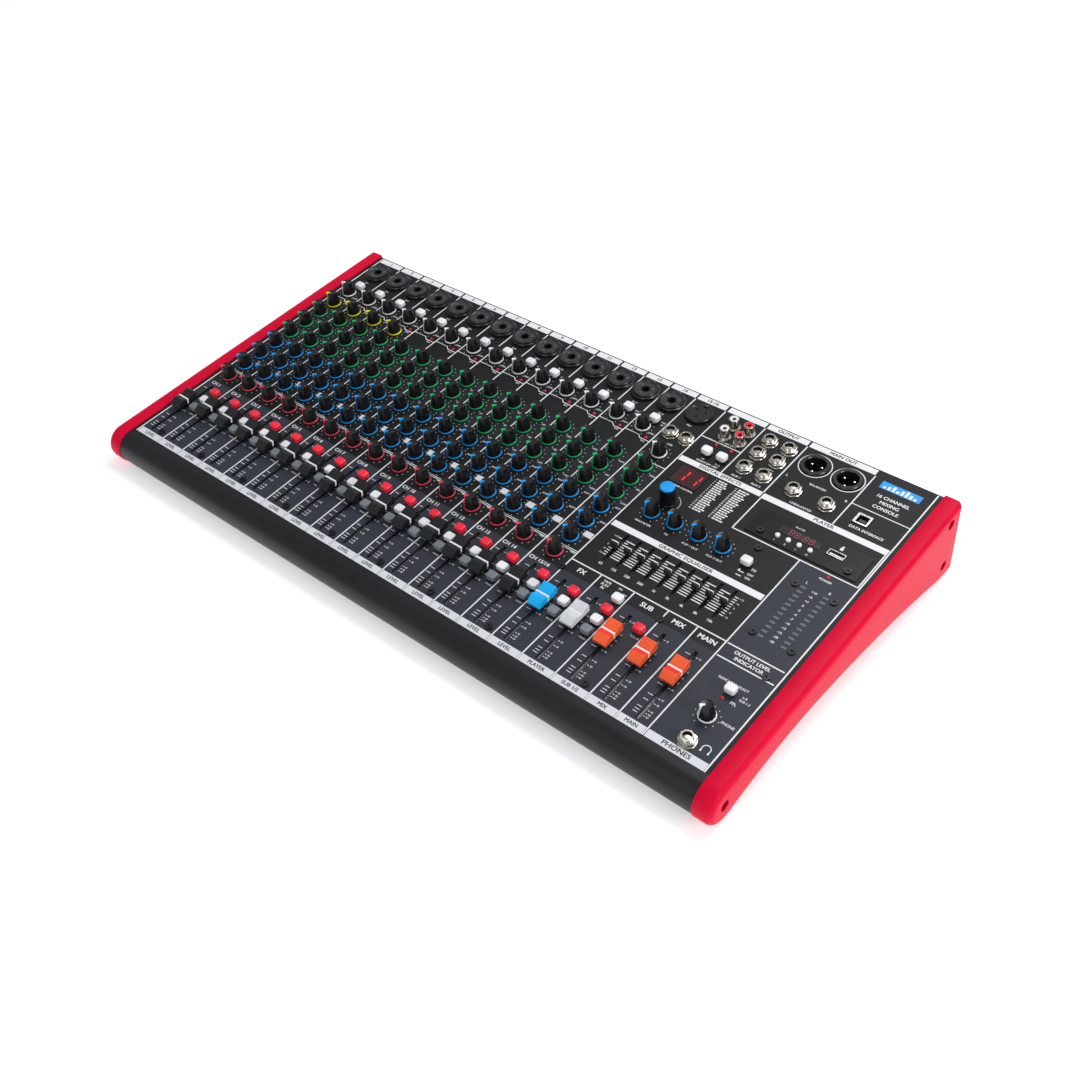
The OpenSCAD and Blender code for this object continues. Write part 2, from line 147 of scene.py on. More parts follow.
EQ_X: list[float] = [414.9 + 11.8 * k for k in range(9)]
EQ_Y = 121.0
METER_X = (544.5, 562.6)
METER_Y = [111.3 + 4.83 * k for k in range(12)]
SCALE_Y = (70.9, 57.5, 51.4, 46.4, 39.6, 29.0, 24.0, 17.4, 14.7, 12.3)
SCALE_TEXT = ("10", "5", "0", "5", "10", "20", "30", "40", "50", "60")
STATUS_LAMPS: list[Point] = ([(x + 20.6, 229.7) for x in PLAN.strips]
                             + [(411.4, 253), (425.2, 253), (553.6, 182.1), (553.2, 53.5)])
PLAYER_KEYS = [503.4 + 8.95 * k for k in range(4)]
CONTACT_ANGLES = (30, 150, 270)
PIN_CIRCLE = 4.9
PRINT_LOW, PRINT_HIGH = -0.02, 0.06
FINE, TITLE = 0.02, 0.035


def ring(radius: float, degrees: Iterable[float], centre: Point = (0, 0)) -> list[Point]:
    """Points on a circle.

    Args:
        radius: the circle's radius.
        degrees: the angle of each point.
        centre: the circle's centre.

    Returns:
        One point per angle.
    """
    return [(centre[0] + radius * math.cos(math.radians(a)),
             centre[1] + radius * math.sin(math.radians(a))) for a in degrees]


# ---------------------------------------------------------------- shader maths

def _operator(operation: str) -> Callable[["Wire", Any], "Wire"]:
    """A Wire operator that adds one Math node."""
    def method(self: "Wire", other: Any) -> "Wire":
        """Joins this value and another in a Math node."""
        made = self.nodes.make("Math", {"operation": operation}, {0: self, 1: other})
        return Wire(self.nodes, made.outputs[0])
    return method


class Wire:
    """A value socket in a node tree; arithmetic on it adds Math nodes."""

    __add__ = __radd__ = _operator("ADD")
    __sub__ = _operator("SUBTRACT")
    __mul__ = __rmul__ = __and__ = _operator("MULTIPLY")
    __gt__, __lt__ = _operator("GREATER_THAN"), _operator("LESS_THAN")
    __or__ = _operator("MAXIMUM")

    def __init__(self, nodes: "NodeBench", socket: Any) -> None:
        """Keeps the bench and the output socket."""
        self.nodes, self.socket = nodes, socket

    def ramp(self, low: float, high: float) -> "Wire":
        """Rises smoothly from zero at low to one at high."""
        made = self.nodes.make("MapRange", {"interpolation_type": "SMOOTHSTEP"},
                               {"Value": self, "From Min": low, "From Max": high})
        return Wire(self.nodes, made.outputs[0])


class NodeBench:
    """A material's node tree with one way to add any node."""

    def __init__(self, name: str) -> None:
        """Starts a material with a Principled shader."""
        self.material = bpy.data.materials.new(name)
        self.material.use_nodes = True
        self.tree = self.material.node_tree
        self.shader = self.tree.nodes["Principled BSDF"]

    def make(self, kind: str, settings: dict[str, Any] | None = None,
             values: dict[Any, Any] | None = None) -> Any:
        """Adds a shader node.

        Args:
            kind: the node type without its ShaderNode prefix.
            settings: properties that are set before the sockets.
            values: socket name or index to a number, colour, socket or Wire.

        Returns:
            The node.
        """
        node = self.tree.nodes.new("ShaderNode" + kind)
        for key, value in (settings or {}).items():
            setattr(node, key, value)
        for key, value in (values or {}).items():
            self.feed(node.inputs[key], value)
        return node

    def feed(self, socket: Any, value: Any) -> None:
        """Links or sets one input socket."""
        if isinstance(value, Wire):
            value = value.socket
        if isinstance(value, bpy.types.NodeSocket):
            self.tree.links.new(value, socket)
        elif isinstance(value, tuple) and len(value) == 3 and socket.type == "RGBA":
            socket.default_value = (*value, 1.0)
        else:
            socket.default_value = value

    def spot(self, scale: tuple[float, float, float] = (1, 1, 1)) -> Any:
        """Object coordinates, stretched by a scale."""
        coords = self.make("TexCoord").outputs["Object"]
        return self.make("Mapping", None, {"Vector": coords, "Scale": scale}).outputs[0]

    def panel_mm(self) -> tuple[Wire, Wire, Wire]:
        """Object coordinates as millimetres across, up the slope and above the panel."""
        coords = self.make("TexCoord").outputs["Object"]
        place = self.make("Mapping", {"vector_type": "TEXTURE"}, {
            "Vector": coords, "Scale": (MM, MM, MM),
            "Location": (-PLAN.frame_w / 2 * MM, PLAN.shift * MM, PLAN.drop * MM),
            "Rotation": (math.radians(PLAN.tilt), 0, 0)}).outputs[0]
        parts = self.make("SeparateXYZ", None, {0: place}).outputs
        return Wire(self, parts[0]), Wire(self, parts[1]), Wire(self, parts[2])

    def noise(self, scale: float, detail: float = 3,
              stretch: tuple[float, float, float] = (1, 1, 1), rough: float = 0.5) -> Wire:
        """Noise on Object coordinates, with a scale in cycles per metre."""
        made = self.make("TexNoise", None, {"Vector": self.spot(stretch), "Scale": scale,
                                            "Detail": detail, "Roughness": rough})
        return Wire(self, made.outputs[0])

    def cells(self, scale: float) -> Wire:
        """Distance to the nearest cell point."""
        made = self.make("TexVoronoi", None, {"Vector": self.spot(), "Scale": scale})
        return Wire(self, made.outputs["Distance"])

    def mix(self, factor: Any, first: Any, second: Any) -> Any:
        """Mixes two colours."""
        made = self.make("Mix", {"data_type": "RGBA"}, {0: factor, 6: first, 7: second})
        return made.outputs[2]

    def bump(self, height: Any, strength: float, distance: float) -> None:
        """Feeds the shader's normal from a height."""
        made = self.make("Bump", None, {"Height": height, "Strength": strength,
                                        "Distance": distance})
        self.feed(self.shader.inputs["Normal"], made.outputs[0])

    def set(self, **values: Any) -> None:
        """Sets the shader's own sockets, with underscores for spaces."""
        for key, value in values.items():
            self.feed(self.shader.inputs[key.replace("_", " ")], value)


def shade(colour: Colour, by: float) -> Colour:
    """A colour made lighter or darker by a factor."""
    return tuple(min(1.0, c * by) for c in colour)


# ---------------------------------------------------------------- finishes

class Finish:
    """A finish that builds its material once."""

    _made: dict[str, Material] = {}
    name: str

    def dress(self, bench: NodeBench) -> None:
        """Sets up the shader."""
        raise NotImplementedError

    def material(self) -> Material:
        """The finish's material, built on first use."""
        if self.name not in Finish._made:
            bench = NodeBench(self.name)
            self.dress(bench)
            Finish._made[self.name] = bench.material
        return Finish._made[self.name]


@dataclass(frozen=True)
class Moulded(Finish):
    """A moulded plastic with fine grain, uneven polish and faint scuffs."""

    name: str
    colour: Colour
    rough: float = 0.4
    grain: float = 0.25
    coat: float = 0.0
    mottle: float = 0.08
    shine: float = 0.35
    relief: float = 0.00005

    def dress(self, bench: NodeBench) -> None:
        """Colour mottles a little; scuffs raise the roughness."""
        cloud = bench.noise(60, 3)
        fine = bench.noise(2600, 2)
        scuff = bench.noise(190, 4, (1, 0.12, 0.6), 0.65).ramp(0.62, 0.74)
        dark, light = shade(self.colour, 1 - self.mottle), shade(self.colour, 1 + self.mottle)
        base = bench.mix(cloud.ramp(0.35, 0.65), dark, light)
        worn = bench.mix(scuff * 0.12, base, shade(self.colour, 1.5))
        bench.set(Base_Color=worn, Roughness=self.rough + 0.08 * (cloud - 0.5) + 0.1 * scuff,
                  Specular_IOR_Level=self.shine, Coat_Weight=self.coat, Coat_Roughness=0.18)
        bench.bump(fine, self.grain, self.relief)


@dataclass(frozen=True)
class PowderCoat(Finish):
    """A fine textured powder coat on sheet metal."""

    name: str
    colour: Colour
    rough: float = 0.5
    orange_peel: float = 0.35
    relief: float = 0.00008

    def dress(self, bench: NodeBench) -> None:
        """Fine pits in the coat, slow drift in colour and gloss."""
        pits = bench.noise(1500, 3)
        drift = bench.noise(9, 3)
        dust = bench.noise(420, 4, rough=0.7).ramp(0.66, 0.78)
        base = bench.mix(drift.ramp(0.3, 0.7), shade(self.colour, 0.88), shade(self.colour, 1.14))
        bench.set(Base_Color=bench.mix(dust * 0.04, base, (0.4, 0.4, 0.41)),
                  Specular_IOR_Level=0.3,
                  Roughness=self.rough + 0.1 * (drift - 0.5) + 0.05 * (pits - 0.5))
        bench.bump(pits, self.orange_peel, self.relief)


@dataclass(frozen=True)
class PrintedPanel(Finish):
    """The panel's black coat with its slate-grey printed fields."""

    name: str
    black: Colour = (0.0085, 0.0085, 0.0095)
    slate: Colour = (0.033, 0.038, 0.052)
    fader_area: tuple[float, ...] = (0.3, 528.5, 0, 82.2)
    meter_area: tuple[float, ...] = (529, 576.2, 0, 185)
    tone_area: tuple[float, ...] = (0.3, 395, 156, 208.5)
    tone_share: float = 0.42
    relief: float = 0.00006

    def field(self, x: Wire, y: Wire, area: tuple[float, ...]) -> Wire:
        """A mask that is one inside a rectangle given as low x, high x, low y, high y."""
        return (x > area[0]) & (x < area[1]) & (y > area[2]) & (y < area[3])

    def dress(self, bench: NodeBench) -> None:
        """Slate fields behind the faders and the meter, and faintly behind the tone knobs."""
        x, y, _ = bench.panel_mm()
        fields = (self.field(x, y, self.fader_area) | self.field(x, y, self.meter_area)
                  | self.field(x, y, self.tone_area) * self.tone_share)
        pits = bench.noise(1700, 3)
        drift = bench.noise(7, 3)
        specks = bench.noise(700, 3, rough=0.7).ramp(0.68, 0.8)
        base = bench.mix(fields, self.black, self.slate)
        tint = bench.mix(drift.ramp(0.35, 0.7) * 0.2, base, (0.024, 0.024, 0.028))
        bench.set(Base_Color=bench.mix(specks * 0.04, tint, (0.5, 0.5, 0.5)),
                  Specular_IOR_Level=0.22,
                  Roughness=0.45 + 0.1 * (drift - 0.5) + 0.06 * (pits - 0.5))
        bench.bump(pits, 0.3, self.relief)


@dataclass(frozen=True)
class Ink(Finish):
    """Screen-printed ink: slightly uneven, a touch raised."""

    name: str
    colour: Colour
    rough: float = 0.5
    relief: float = 0.00003

    def dress(self, bench: NodeBench) -> None:
        """Ink cover varies over the print."""
        cover = bench.noise(1900, 4, rough=0.7)
        base = bench.mix(cover.ramp(0.3, 0.6), shade(self.colour, 0.93), self.colour)
        bench.set(Base_Color=base, Roughness=self.rough + 0.15 * (cover - 0.5))
        bench.bump(cover, 0.15, self.relief)


@dataclass(frozen=True)
class Plated(Finish):
    """Plated or bare metal with turning marks and slight tarnish."""

    name: str
    colour: Colour
    rough: float = 0.18
    tarnish: float = 0.3
    relief: float = 0.00004

    def dress(self, bench: NodeBench) -> None:
        """Fine turning rings and patches of tarnish."""
        cloud = bench.noise(240, 4, rough=0.6)
        rings = bench.noise(1100, 2, (0.15, 0.15, 4.0))
        base = bench.mix(cloud.ramp(0.4, 0.75) * self.tarnish, self.colour,
                         shade(self.colour, 0.45))
        bench.set(Base_Color=base, Metallic=1.0,
                  Roughness=self.rough + 0.16 * cloud.ramp(0.45, 0.8) + 0.05 * rings)
        bench.bump(rings, 0.2, self.relief)


@dataclass(frozen=True)
class Lit(Finish):
    """A lamp or lit segment behind a coloured window."""

    name: str
    colour: Colour
    glow: float = 3.0

    def dress(self, bench: NodeBench) -> None:
        """The glow is uneven across the segment."""
        cloud = bench.noise(700, 2)
        hue = bench.mix(cloud, shade(self.colour, 0.75), self.colour)
        bench.set(Base_Color=hue, Emission_Color=hue, Emission_Strength=self.glow,
                  Roughness=0.25 + 0.1 * cloud)


@dataclass(frozen=True)
class Window(Finish):
    """A dark tinted display window with a mask printed behind it."""

    name: str
    colour: Colour
    haze: float = 0.12

    def dress(self, bench: NodeBench) -> None:
        """Gloss front with fine haze and faint dot pattern behind."""
        dots = bench.cells(1500).ramp(0.2, 0.5)
        smear = bench.noise(130, 4, (1, 3, 1))
        base = bench.mix(dots, shade(self.colour, 1.5), self.colour)
        bench.set(Base_Color=base, Roughness=self.haze + 0.14 * smear.ramp(0.5, 0.75),
                  Coat_Weight=0.6, Coat_Roughness=0.05)


@dataclass(frozen=True)
class Board(Finish):
    """A circuit board's solder mask over its copper tracks."""

    name: str
    mask: Colour = (0.01, 0.1, 0.03)
    relief: float = 0.00008

    def dress(self, bench: NodeBench) -> None:
        """Tracks show as lighter, raised lines."""
        spot = bench.spot((1, 1, 0))
        bricks = bench.make("TexBrick", None, {"Vector": spot, "Scale": 160.0,
                                               "Mortar Size": 0.03, "Color1": (0, 0, 0, 1),
                                               "Color2": (0, 0, 0, 1), "Mortar": (1, 1, 1, 1)})
        tracks = Wire(bench, bricks.outputs["Fac"])
        cloud = bench.noise(50, 3)
        base = bench.mix(tracks, shade(self.mask, 0.8), shade(self.mask, 2.2))
        bench.set(Base_Color=bench.mix(cloud * 0.3, base, shade(self.mask, 0.6)),
                  Roughness=0.3 + 0.2 * cloud)
        bench.bump(tracks, 0.3, self.relief)


@dataclass(frozen=True)
class Winding(Finish):
    """A taped transformer winding."""

    name: str
    colour: Colour = (0.42, 0.25, 0.05)
    relief: float = 0.0002

    def dress(self, bench: NodeBench) -> None:
        """Wraps of tape as soft ridges."""
        wave = bench.make("TexWave", {"wave_type": "RINGS", "rings_direction": "Z"},
                          {"Vector": bench.spot(), "Scale": 60.0, "Distortion": 2.0})
        wraps = Wire(bench, wave.outputs[1])
        bench.set(Base_Color=bench.mix(wraps, shade(self.colour, 0.6), self.colour),
                  Roughness=0.35 + 0.2 * wraps)
        bench.bump(wraps, 0.4, self.relief)


class Paint(Enum):
    """Every finish on the console."""

    PANEL = PrintedPanel("panel coat")
    ROLL = PowderCoat("front roll coat", (0.0125, 0.0125, 0.0142), 0.36, 0.22)
    TRAY = PowderCoat("tray coat", (0.016, 0.016, 0.018), 0.5)
    CHEEK = Moulded("cheek red", (0.71, 0.0018, 0.036), 0.4, 0.2, 0.0, 0.03, 0.09)
    SCREW = Plated("blackened steel", (0.045, 0.045, 0.048), 0.38, 0.4)
    FOOT = Moulded("foot rubber", (0.014, 0.014, 0.014), 0.75, 0.8)
    BOARD = Board("board green")
    POT = Plated("pot steel", (0.55, 0.55, 0.57), 0.35)
    SWITCH = Moulded("switch body", (0.7, 0.7, 0.68), 0.45)
    SOCKET = Moulded("socket black", (0.010, 0.010, 0.0115), 0.24, 0.2, 0.25, 0.08, 0.5)
    SOCKET_FACE = Moulded("socket face", (0.035, 0.035, 0.039), 0.32, 0.3, 0.1, 0.08, 0.45)
    # Near-black painted shade for holes, bores and their openings.
    HOLE_SHADE = Moulded("painted hole shade", (0.002, 0.002, 0.002), 0.8, 0.2)
    NICKEL = Plated("nickel", (0.64, 0.60, 0.525), 0.17, 0.35)
    BRIGHT = Plated("bright tin", (0.82, 0.82, 0.82), 0.16, 0.2)
    PLAYER = Moulded("player black", (0.008, 0.008, 0.009), 0.3, 0.1, 0.0, 0.08, 0.22)
    WINDING = Winding("winding")
    INLET = Moulded("inlet black", (0.014, 0.014, 0.015), 0.42)
    KNOB = Moulded("knob black", (0.006, 0.006, 0.007), 0.33, 0.15, 0.15)
    WHITE = Moulded("knob white", (0.86, 0.87, 0.89), 0.38, 0.15)
    GREEN = Moulded("knob green", (0.010, 0.47, 0.125), 0.38, 0.15)
    BLUE = Moulded("knob blue", (0.006, 0.33, 0.84), 0.38, 0.15)
    RED = Moulded("knob red", (0.68, 0.055, 0.085), 0.38, 0.15)
    YELLOW = Moulded("knob yellow", (0.82, 0.74, 0.015), 0.38, 0.15)
    FADER_BLACK = Moulded("fader black", (0.010, 0.010, 0.011), 0.38, 0.2, 0.1)
    FADER_BLUE = Moulded("fader blue", (0.004, 0.45, 0.93), 0.35, 0.15, 0.1)
    FADER_WHITE = Moulded("fader white", (0.72, 0.74, 0.77), 0.38, 0.15, 0.1)
    FADER_ORANGE = Moulded("fader orange", (1.0, 0.118, 0.030), 0.35, 0.15, 0.1)
    # A darker, redder orange that is painted shade in the orange caps' finger hollow.
    FADER_ORANGE_SHADED = Moulded("fader orange painted shade", (0.92, 0.035, 0.018), 0.35, 0.15, 0.1)
    BUTTON_RED = Moulded("button red", (0.92, 0.020, 0.048), 0.3, 0.12, 0.2)
    BUTTON_GREY = Moulded("button grey", (0.19, 0.21, 0.235), 0.36, 0.12, 0.1)
    BUTTON_WHITE = Moulded("button white", (0.88, 0.88, 0.9), 0.34, 0.12, 0.1)
    SWITCH_RED = Moulded("switch red", (0.5, 0.008, 0.012), 0.2, 0.1, 0.5)
    LAMP = Moulded("lamp clear", (0.105, 0.122, 0.145), 0.34, 0.2, 0.1)
    LAMP_RED = Lit("lamp red", (0.42, 0.006, 0.02), 0.35)
    PRINT = Ink("white ink", (0.86, 0.87, 0.88))
    BAR = Ink("grey ink", (0.72, 0.74, 0.78))
    TEXT = Ink("dark ink", (0.02, 0.021, 0.025))
    RED_WINDOW = Window("red window", (0.032, 0.0009, 0.0014))
    DIM_WINDOW = Window("dim window", (0.016, 0.013, 0.015))
    DIGIT = Lit("digit lit", (0.85, 0.008, 0.016), 0.95)
    DIGIT_OFF = Lit("digit off", (0.055, 0.0012, 0.0012), 0.2)
    DIGIT_FAINT = Lit("digit faint", (0.30, 0.055, 0.045), 0.35)

    @property
    def mat(self) -> Material:
        """The finish's material."""
        return self.value.material()


# ---------------------------------------------------------------- building meshes

def settle(bm: BMesh, name: str) -> Mesh:
    """Turns a mesh under construction into a mesh and frees it."""
    made = bpy.data.meshes.new(name)
    bm.to_mesh(made)
    bm.free()
    return made


def enter(name: str, data: Any) -> Object:
    """Makes an object of some data and puts it in the scene."""
    obj = bpy.data.objects.new(name, data)
    bpy.context.scene.collection.objects.link(obj)
    return obj


class Form:
    """A mesh under construction, in millimetres, with a palette of finishes."""

    def __init__(self, *palette: Paint) -> None:
        """Starts empty; parts take the current finish of the palette."""
        self.bm = bmesh.new()
        self.palette = palette
        self.index = 0

    def use(self, paint: Paint) -> "Form":
        """Chooses the finish for what is added next."""
        self.index = self.palette.index(paint)
        return self

    def take(self, bm: BMesh) -> "Form":
        """Adds a finished primitive in the current finish and frees it."""
        bmesh.ops.recalc_face_normals(bm, faces=bm.faces[:])
        for face in bm.faces:
            face.material_index = self.index
        mesh = settle(bm, "part")
        self.bm.from_mesh(mesh)
        bpy.data.meshes.remove(mesh)
        return self

    @staticmethod
    def soften(bm: BMesh, edges: Iterable[BMEdge], by: float,
               segments: int = 2) -> None:
        """Rounds a set of edges."""
        bmesh.ops.bevel(bm, geom=list(edges), offset=by, offset_type="OFFSET",
                        segments=segments, profile=0.5, affect="EDGES", material=-1)

    def block(self, low: Sequence[float], high: Sequence[float], round_by: float = 0,
              segments: int = 2) -> "Form":
        """A block between two corners with rounded edges."""
        bm = bmesh.new()
        size = [b - a for a, b in zip(low, high)]
        middle = [(a + b) / 2 for a, b in zip(low, high)]
        bmesh.ops.create_cube(bm, size=1, matrix=Matrix.Translation(middle)
                              @ Matrix.Diagonal((*size, 1)))
        if round_by:
            self.soften(bm, bm.edges[:], round_by, segments)
        return self.take(bm)

    def rim(self, corners: Sequence[float], across: float, up: float, low: float, high: float,
            round_by: float) -> "Form":
        """A flat rectangular frame of four bars.

        Args:
            corners: low x, high x, low y and high y of its outer edge.
            across: the width of the two bars along y.
            up: the width of the two bars along x.
            low: its underside.
            high: its top.
            round_by: the rounding of the bars.

        Returns:
            The form.
        """
        x0, x1, y0, y1 = corners
        for a0, a1, b0, b1 in ((x0, x1, y0, y0 + up), (x0, x1, y1 - up, y1),
                               (x0, x0 + across, y0, y1), (x1 - across, x1, y0, y1)):
            self.block((a0, b0, low), (a1, b1, high), round_by, 1)
        return self

    def cone(self, centre: Point, r1: float, r2: float, low: float, high: float,
             segments: int = 32, turn: float = 0) -> "Form":
        """An upright cone or cylinder with closed ends."""
        bm = bmesh.new()
        place = Matrix.Translation((*centre, (low + high) / 2)) @ Matrix.Rotation(turn, 4, "Z")
        bmesh.ops.create_cone(bm, cap_ends=True, segments=segments, radius1=r1, radius2=r2,
                              depth=high - low, matrix=place)
        return self.take(bm)

    def fluted(self, centre: Point, r1: float, r2: float, low: float, high: float,
               flutes: int, depth: float = 0.9) -> "Form":
        """A tapered grip with flutes, a chamfered rim and a slightly dished top."""
        bm = bmesh.new()
        sides = flutes * 3
        bmesh.ops.create_cone(bm, cap_ends=True, segments=sides, radius1=r1, radius2=r2,
                              depth=high - low,
                              matrix=Matrix.Translation((0, 0, (low + high) / 2)))
        for vert in bm.verts:
            if round(math.atan2(vert.co.y, vert.co.x) / math.tau * sides) % 3 == 0:
                vert.co.xy *= depth
        lid = [f for f in bm.faces if f.normal.z > 0.9]
        bmesh.ops.inset_region(bm, faces=lid, thickness=0.32, depth=0.25)
        bmesh.ops.inset_region(bm, faces=lid, thickness=r2 * 0.25, depth=-0.25)
        bmesh.ops.translate(bm, verts=bm.verts[:], vec=(*centre, 0))
        return self.take(bm)

    def lathe(self, profile: Sequence[Point], centre: Point = (0, 0), steps: int = 32,
              closed: bool = True) -> "Form":
        """Spins a profile of (radius, height) points about an upright axis."""
        bm = bmesh.new()
        verts = [bm.verts.new((r, 0, z)) for r, z in profile]
        pairs = list(zip(verts, verts[1:])) + ([(verts[-1], verts[0])] if closed else [])
        edges = [bm.edges.new(pair) for pair in pairs]
        bmesh.ops.spin(bm, geom=verts + edges, cent=(0, 0, 0), axis=(0, 0, 1), angle=math.tau,
                       steps=steps, use_merge=True, use_duplicate=False)
        bmesh.ops.remove_doubles(bm, verts=bm.verts[:], dist=1e-4)
        bmesh.ops.translate(bm, verts=bm.verts[:], vec=(*centre, 0))
        return self.take(bm)

    def prism(self, outline: Sequence[Point], low: float, high: float, axis: str = "Z",
              round_by: float = 0, segments: int = 2) -> "Form":
        """Extrudes an outline along an axis, with rounded edges."""
        bm = bmesh.new()
        turn = {"Z": Matrix.Identity(3), "X": Matrix(((0, 0, 1), (1, 0, 0), (0, 1, 0)))}[axis]
        face = bm.faces.new([bm.verts.new(turn @ Vector((a, b, low))) for a, b in outline])
        grown = bmesh.ops.extrude_face_region(bm, geom=[face], use_keep_orig=True)
        moved = [g for g in grown["geom"] if isinstance(g, BMVert)]
        bmesh.ops.translate(bm, verts=moved, vec=turn @ Vector((0, 0, high - low)))
        if round_by:
            self.soften(bm, bm.edges[:], round_by, segments)
        return self.take(bm)

    def stamp(self, mesh: Mesh, place: Matrix, own_finish: bool = True) -> "Form":
        """Adds a copy of a mesh at a place, in its own finishes or in the current one."""
        part = mesh.copy()
        part.transform(place)
        if not own_finish:
            part.polygons.foreach_set("material_index", [self.index] * len(part.polygons))
        self.bm.from_mesh(part)
        bpy.data.meshes.remove(part)
        return self

    def at(self, mesh: Mesh, points: Iterable[Point], turn: float = 0) -> "Form":
        """Stamps a mesh at each panel point."""
        for x, y in points:
            self.stamp(mesh, Matrix.Translation((x, y, 0)) @ Matrix.Rotation(turn, 4, "Z"))
        return self

    def mesh(self, name: str) -> Mesh:
        """The form as a mesh that can be stamped."""
        return settle(self.bm, name)

    def piece(self, name: str, body: str, stands_for: Sequence[str] = (),
              place: Matrix | None = None, sharp: float = 35) -> Object:
        """Finishes the form as an object in metres.

        Args:
            name: the piece's name.
            body: the CAD body it rides on.
            stands_for: CAD nodes that it replaces.
            place: the matrix from its millimetres to metres, the panel's by default.
            sharp: edges over this angle in degrees stay sharp.

        Returns:
            The object.
        """
        for face in self.bm.faces:
            face.smooth = True
        for edge in self.bm.edges:
            edge.smooth = len(edge.link_faces) == 2 and (
                edge.calc_face_angle(0) < math.radians(sharp))
        made = settle(self.bm, name)
        made.transform(place or PLAN.panel())
        for paint in self.palette:
            made.materials.append(paint.mat)
        obj = enter(name, made)
        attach(obj, body)
        if stands_for:
            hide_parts(*stands_for)
        LOG.info("%s: %d faces on %s", name, len(made.polygons), body)
        return obj


class Lettering:
    """Sets words as thin raised ink."""

    cap_size = 1.37
    copy_lift = 0.0015

    def __init__(self, depth: float = 0.03) -> None:
        """Keeps each word's mesh for reuse."""
        self.depth = depth
        self.words: dict[str, Mesh] = {}

    def word(self, text: str) -> Mesh:
        """A word one millimetre in letter height, centred on the origin."""
        if text not in self.words:
            curve = bpy.data.curves.new("word", "FONT")
            curve.body = text
            curve.size = self.cap_size
            curve.align_x, curve.align_y = "CENTER", "CENTER"
            curve.resolution_u = 3
            curve.extrude = self.depth
            curve.fill_mode = "FRONT"
            holder = enter("word", curve)
            bpy.context.view_layer.update()
            self.words[text] = bpy.data.meshes.new_from_object(holder)
            bpy.data.objects.remove(holder)
        return self.words[text]

    def put(self, form: Form, text: str, x: float, y: float, height: float,
            bold: float = FINE, wide: float = 1.0, level: float = 0.05) -> None:
        """Stamps a word on a form in its current finish.

        Args:
            form: the form it is added to.
            text: the word.
            x: its middle across.
            y: its middle up the slope.
            height: its letter height.
            bold: how far its strokes are spread, as a share of the letter height.
            wide: how much its letters are stretched.
            level: its height above the panel.
        """
        spread = ((-1, -1), (-1, 1), (1, -1), (1, 1)) if bold else ((0, 0),)
        for k, (across, up) in enumerate(spread):
            place = (Matrix.Translation((x + across * bold * height, y + up * bold * height / 2,
                                         level + self.copy_lift * k))
                     @ Matrix.Diagonal((height * wide, height, 1, 1)))
            form.stamp(self.word(text), place, own_finish=False)


# ---------------------------------------------------------------- turned half-sections

# Each is a run of (radius, height) points.
COMBO_FLANGE = ((11.9, 2.2), (11.5, 2.75), (11.0, 2.85), (10.7, 2.2))
COMBO_COLLAR = ((10.55, 4.0), (10.2, 4.45), (9.2, 4.45), (8.8, 4.0))
COMBO_BEVEL = ((8.7, 3.2), (8.7, 3.9), (7.9, 3.5), (7.7, 3.2))
COMBO_FACE = ((8.6, 3.1), (8.6, 3.22), (3.3, 3.22), (3.3, 3.1))
COMBO_CONTACT = ((1.25, 3.2), (1.25, 3.36), (0.95, 3.36), (0.95, 3.2))
COMBO_MOUTH = ((3.9, 3.1), (3.9, 3.26), (3.27, 3.26), (3.27, 3.1))
COMBO_LINING = ((3.27, 3.2), (3.27, -16), (3.2, -16), (3.2, 3.2))
INLET_RIM = ((11.3, 2.6), (10.9, 3.2), (9.4, 3.2), (9.0, 2.6))
INLET_SLEEVE = ((1.38, -5), (1.38, 1.6), (1.1, 1.6), (1.1, -5))
OUTLET_RIM = ((11.3, 1.4), (10.8, 2.1), (8.6, 2.1), (8.1, 1.4))
JACK_LINING = ((3.26, 4.9), (3.26, -2.6), (3.17, -2.6), (3.17, 4.9))
PHONO_SLEEVE = ((1.7, 1.0), (1.7, 8.8), (1.45, 8.8), (1.45, 1.0))
SELECTOR_SKIRT = ((0, 0.5), (6.9, 0.5), (6.9, 1.6), (6.5, 2), (0, 2))
OUTPUT_RING = ((13.1, 0), (13.1, 0.06), (12.3, 0.06), (12.3, 0))
HEADBAND = ((3.4, 0), (3.4, 0.06), (2.75, 0.06), (2.75, 0))
OUTLET_PIN = ((0, -12.9), (1.24, -12.9), (1.24, -2.0), (0.95, -1.35), (0.4, -1.1), (0, -1.05))
JACK_WASHER = ((4.85, 0), (6.9, 0), (6.9, 0.35), (6.6, 0.75), (5.6, 0.95), (4.85, 0.95))
PHONO_BARREL = ((5.4, 0), (5.4, 0.9), (5.1, 1.2), (4.15, 1.2), (4.15, 9.35), (3.95, 9.6),
                (3.5, 9.6), (3.4, 9.2), (3.4, -19.9), (0, -19.9), (0, -20), (3.4, -20), (3.4, 0))
PHONO_INSERT = ((3.42, 8.0), (3.42, 9.3), (3.1, 9.55), (2.0, 9.55), (1.65, 9.2), (1.65, 1.2),
                (3.42, 1.2))
LAMP_LENS = ((0, -8), (1.5, -8), (1.5, 0.2), (1.25, 0.65), (0.7, 0.88), (0, 0.95))
KEY_DOME = ((0, -1.4), (1.9, -1.4), (1.9, 1.9), (1.6, 2.25), (0.9, 2.4), (0, 2.42))
SCREW_HEAD = ((0, -0.6), (2.6, -0.6), (2.6, 0.3), (2.2, 0.9), (1.2, 1.25), (0, 1.3))
SELECTOR_CAP = ((5.7, 15.2), (5.75, 16.2), (5.3, 16.9), (4.2, 17.0), (0, 16.8), (0, 15.2))


# ---------------------------------------------------------------- case

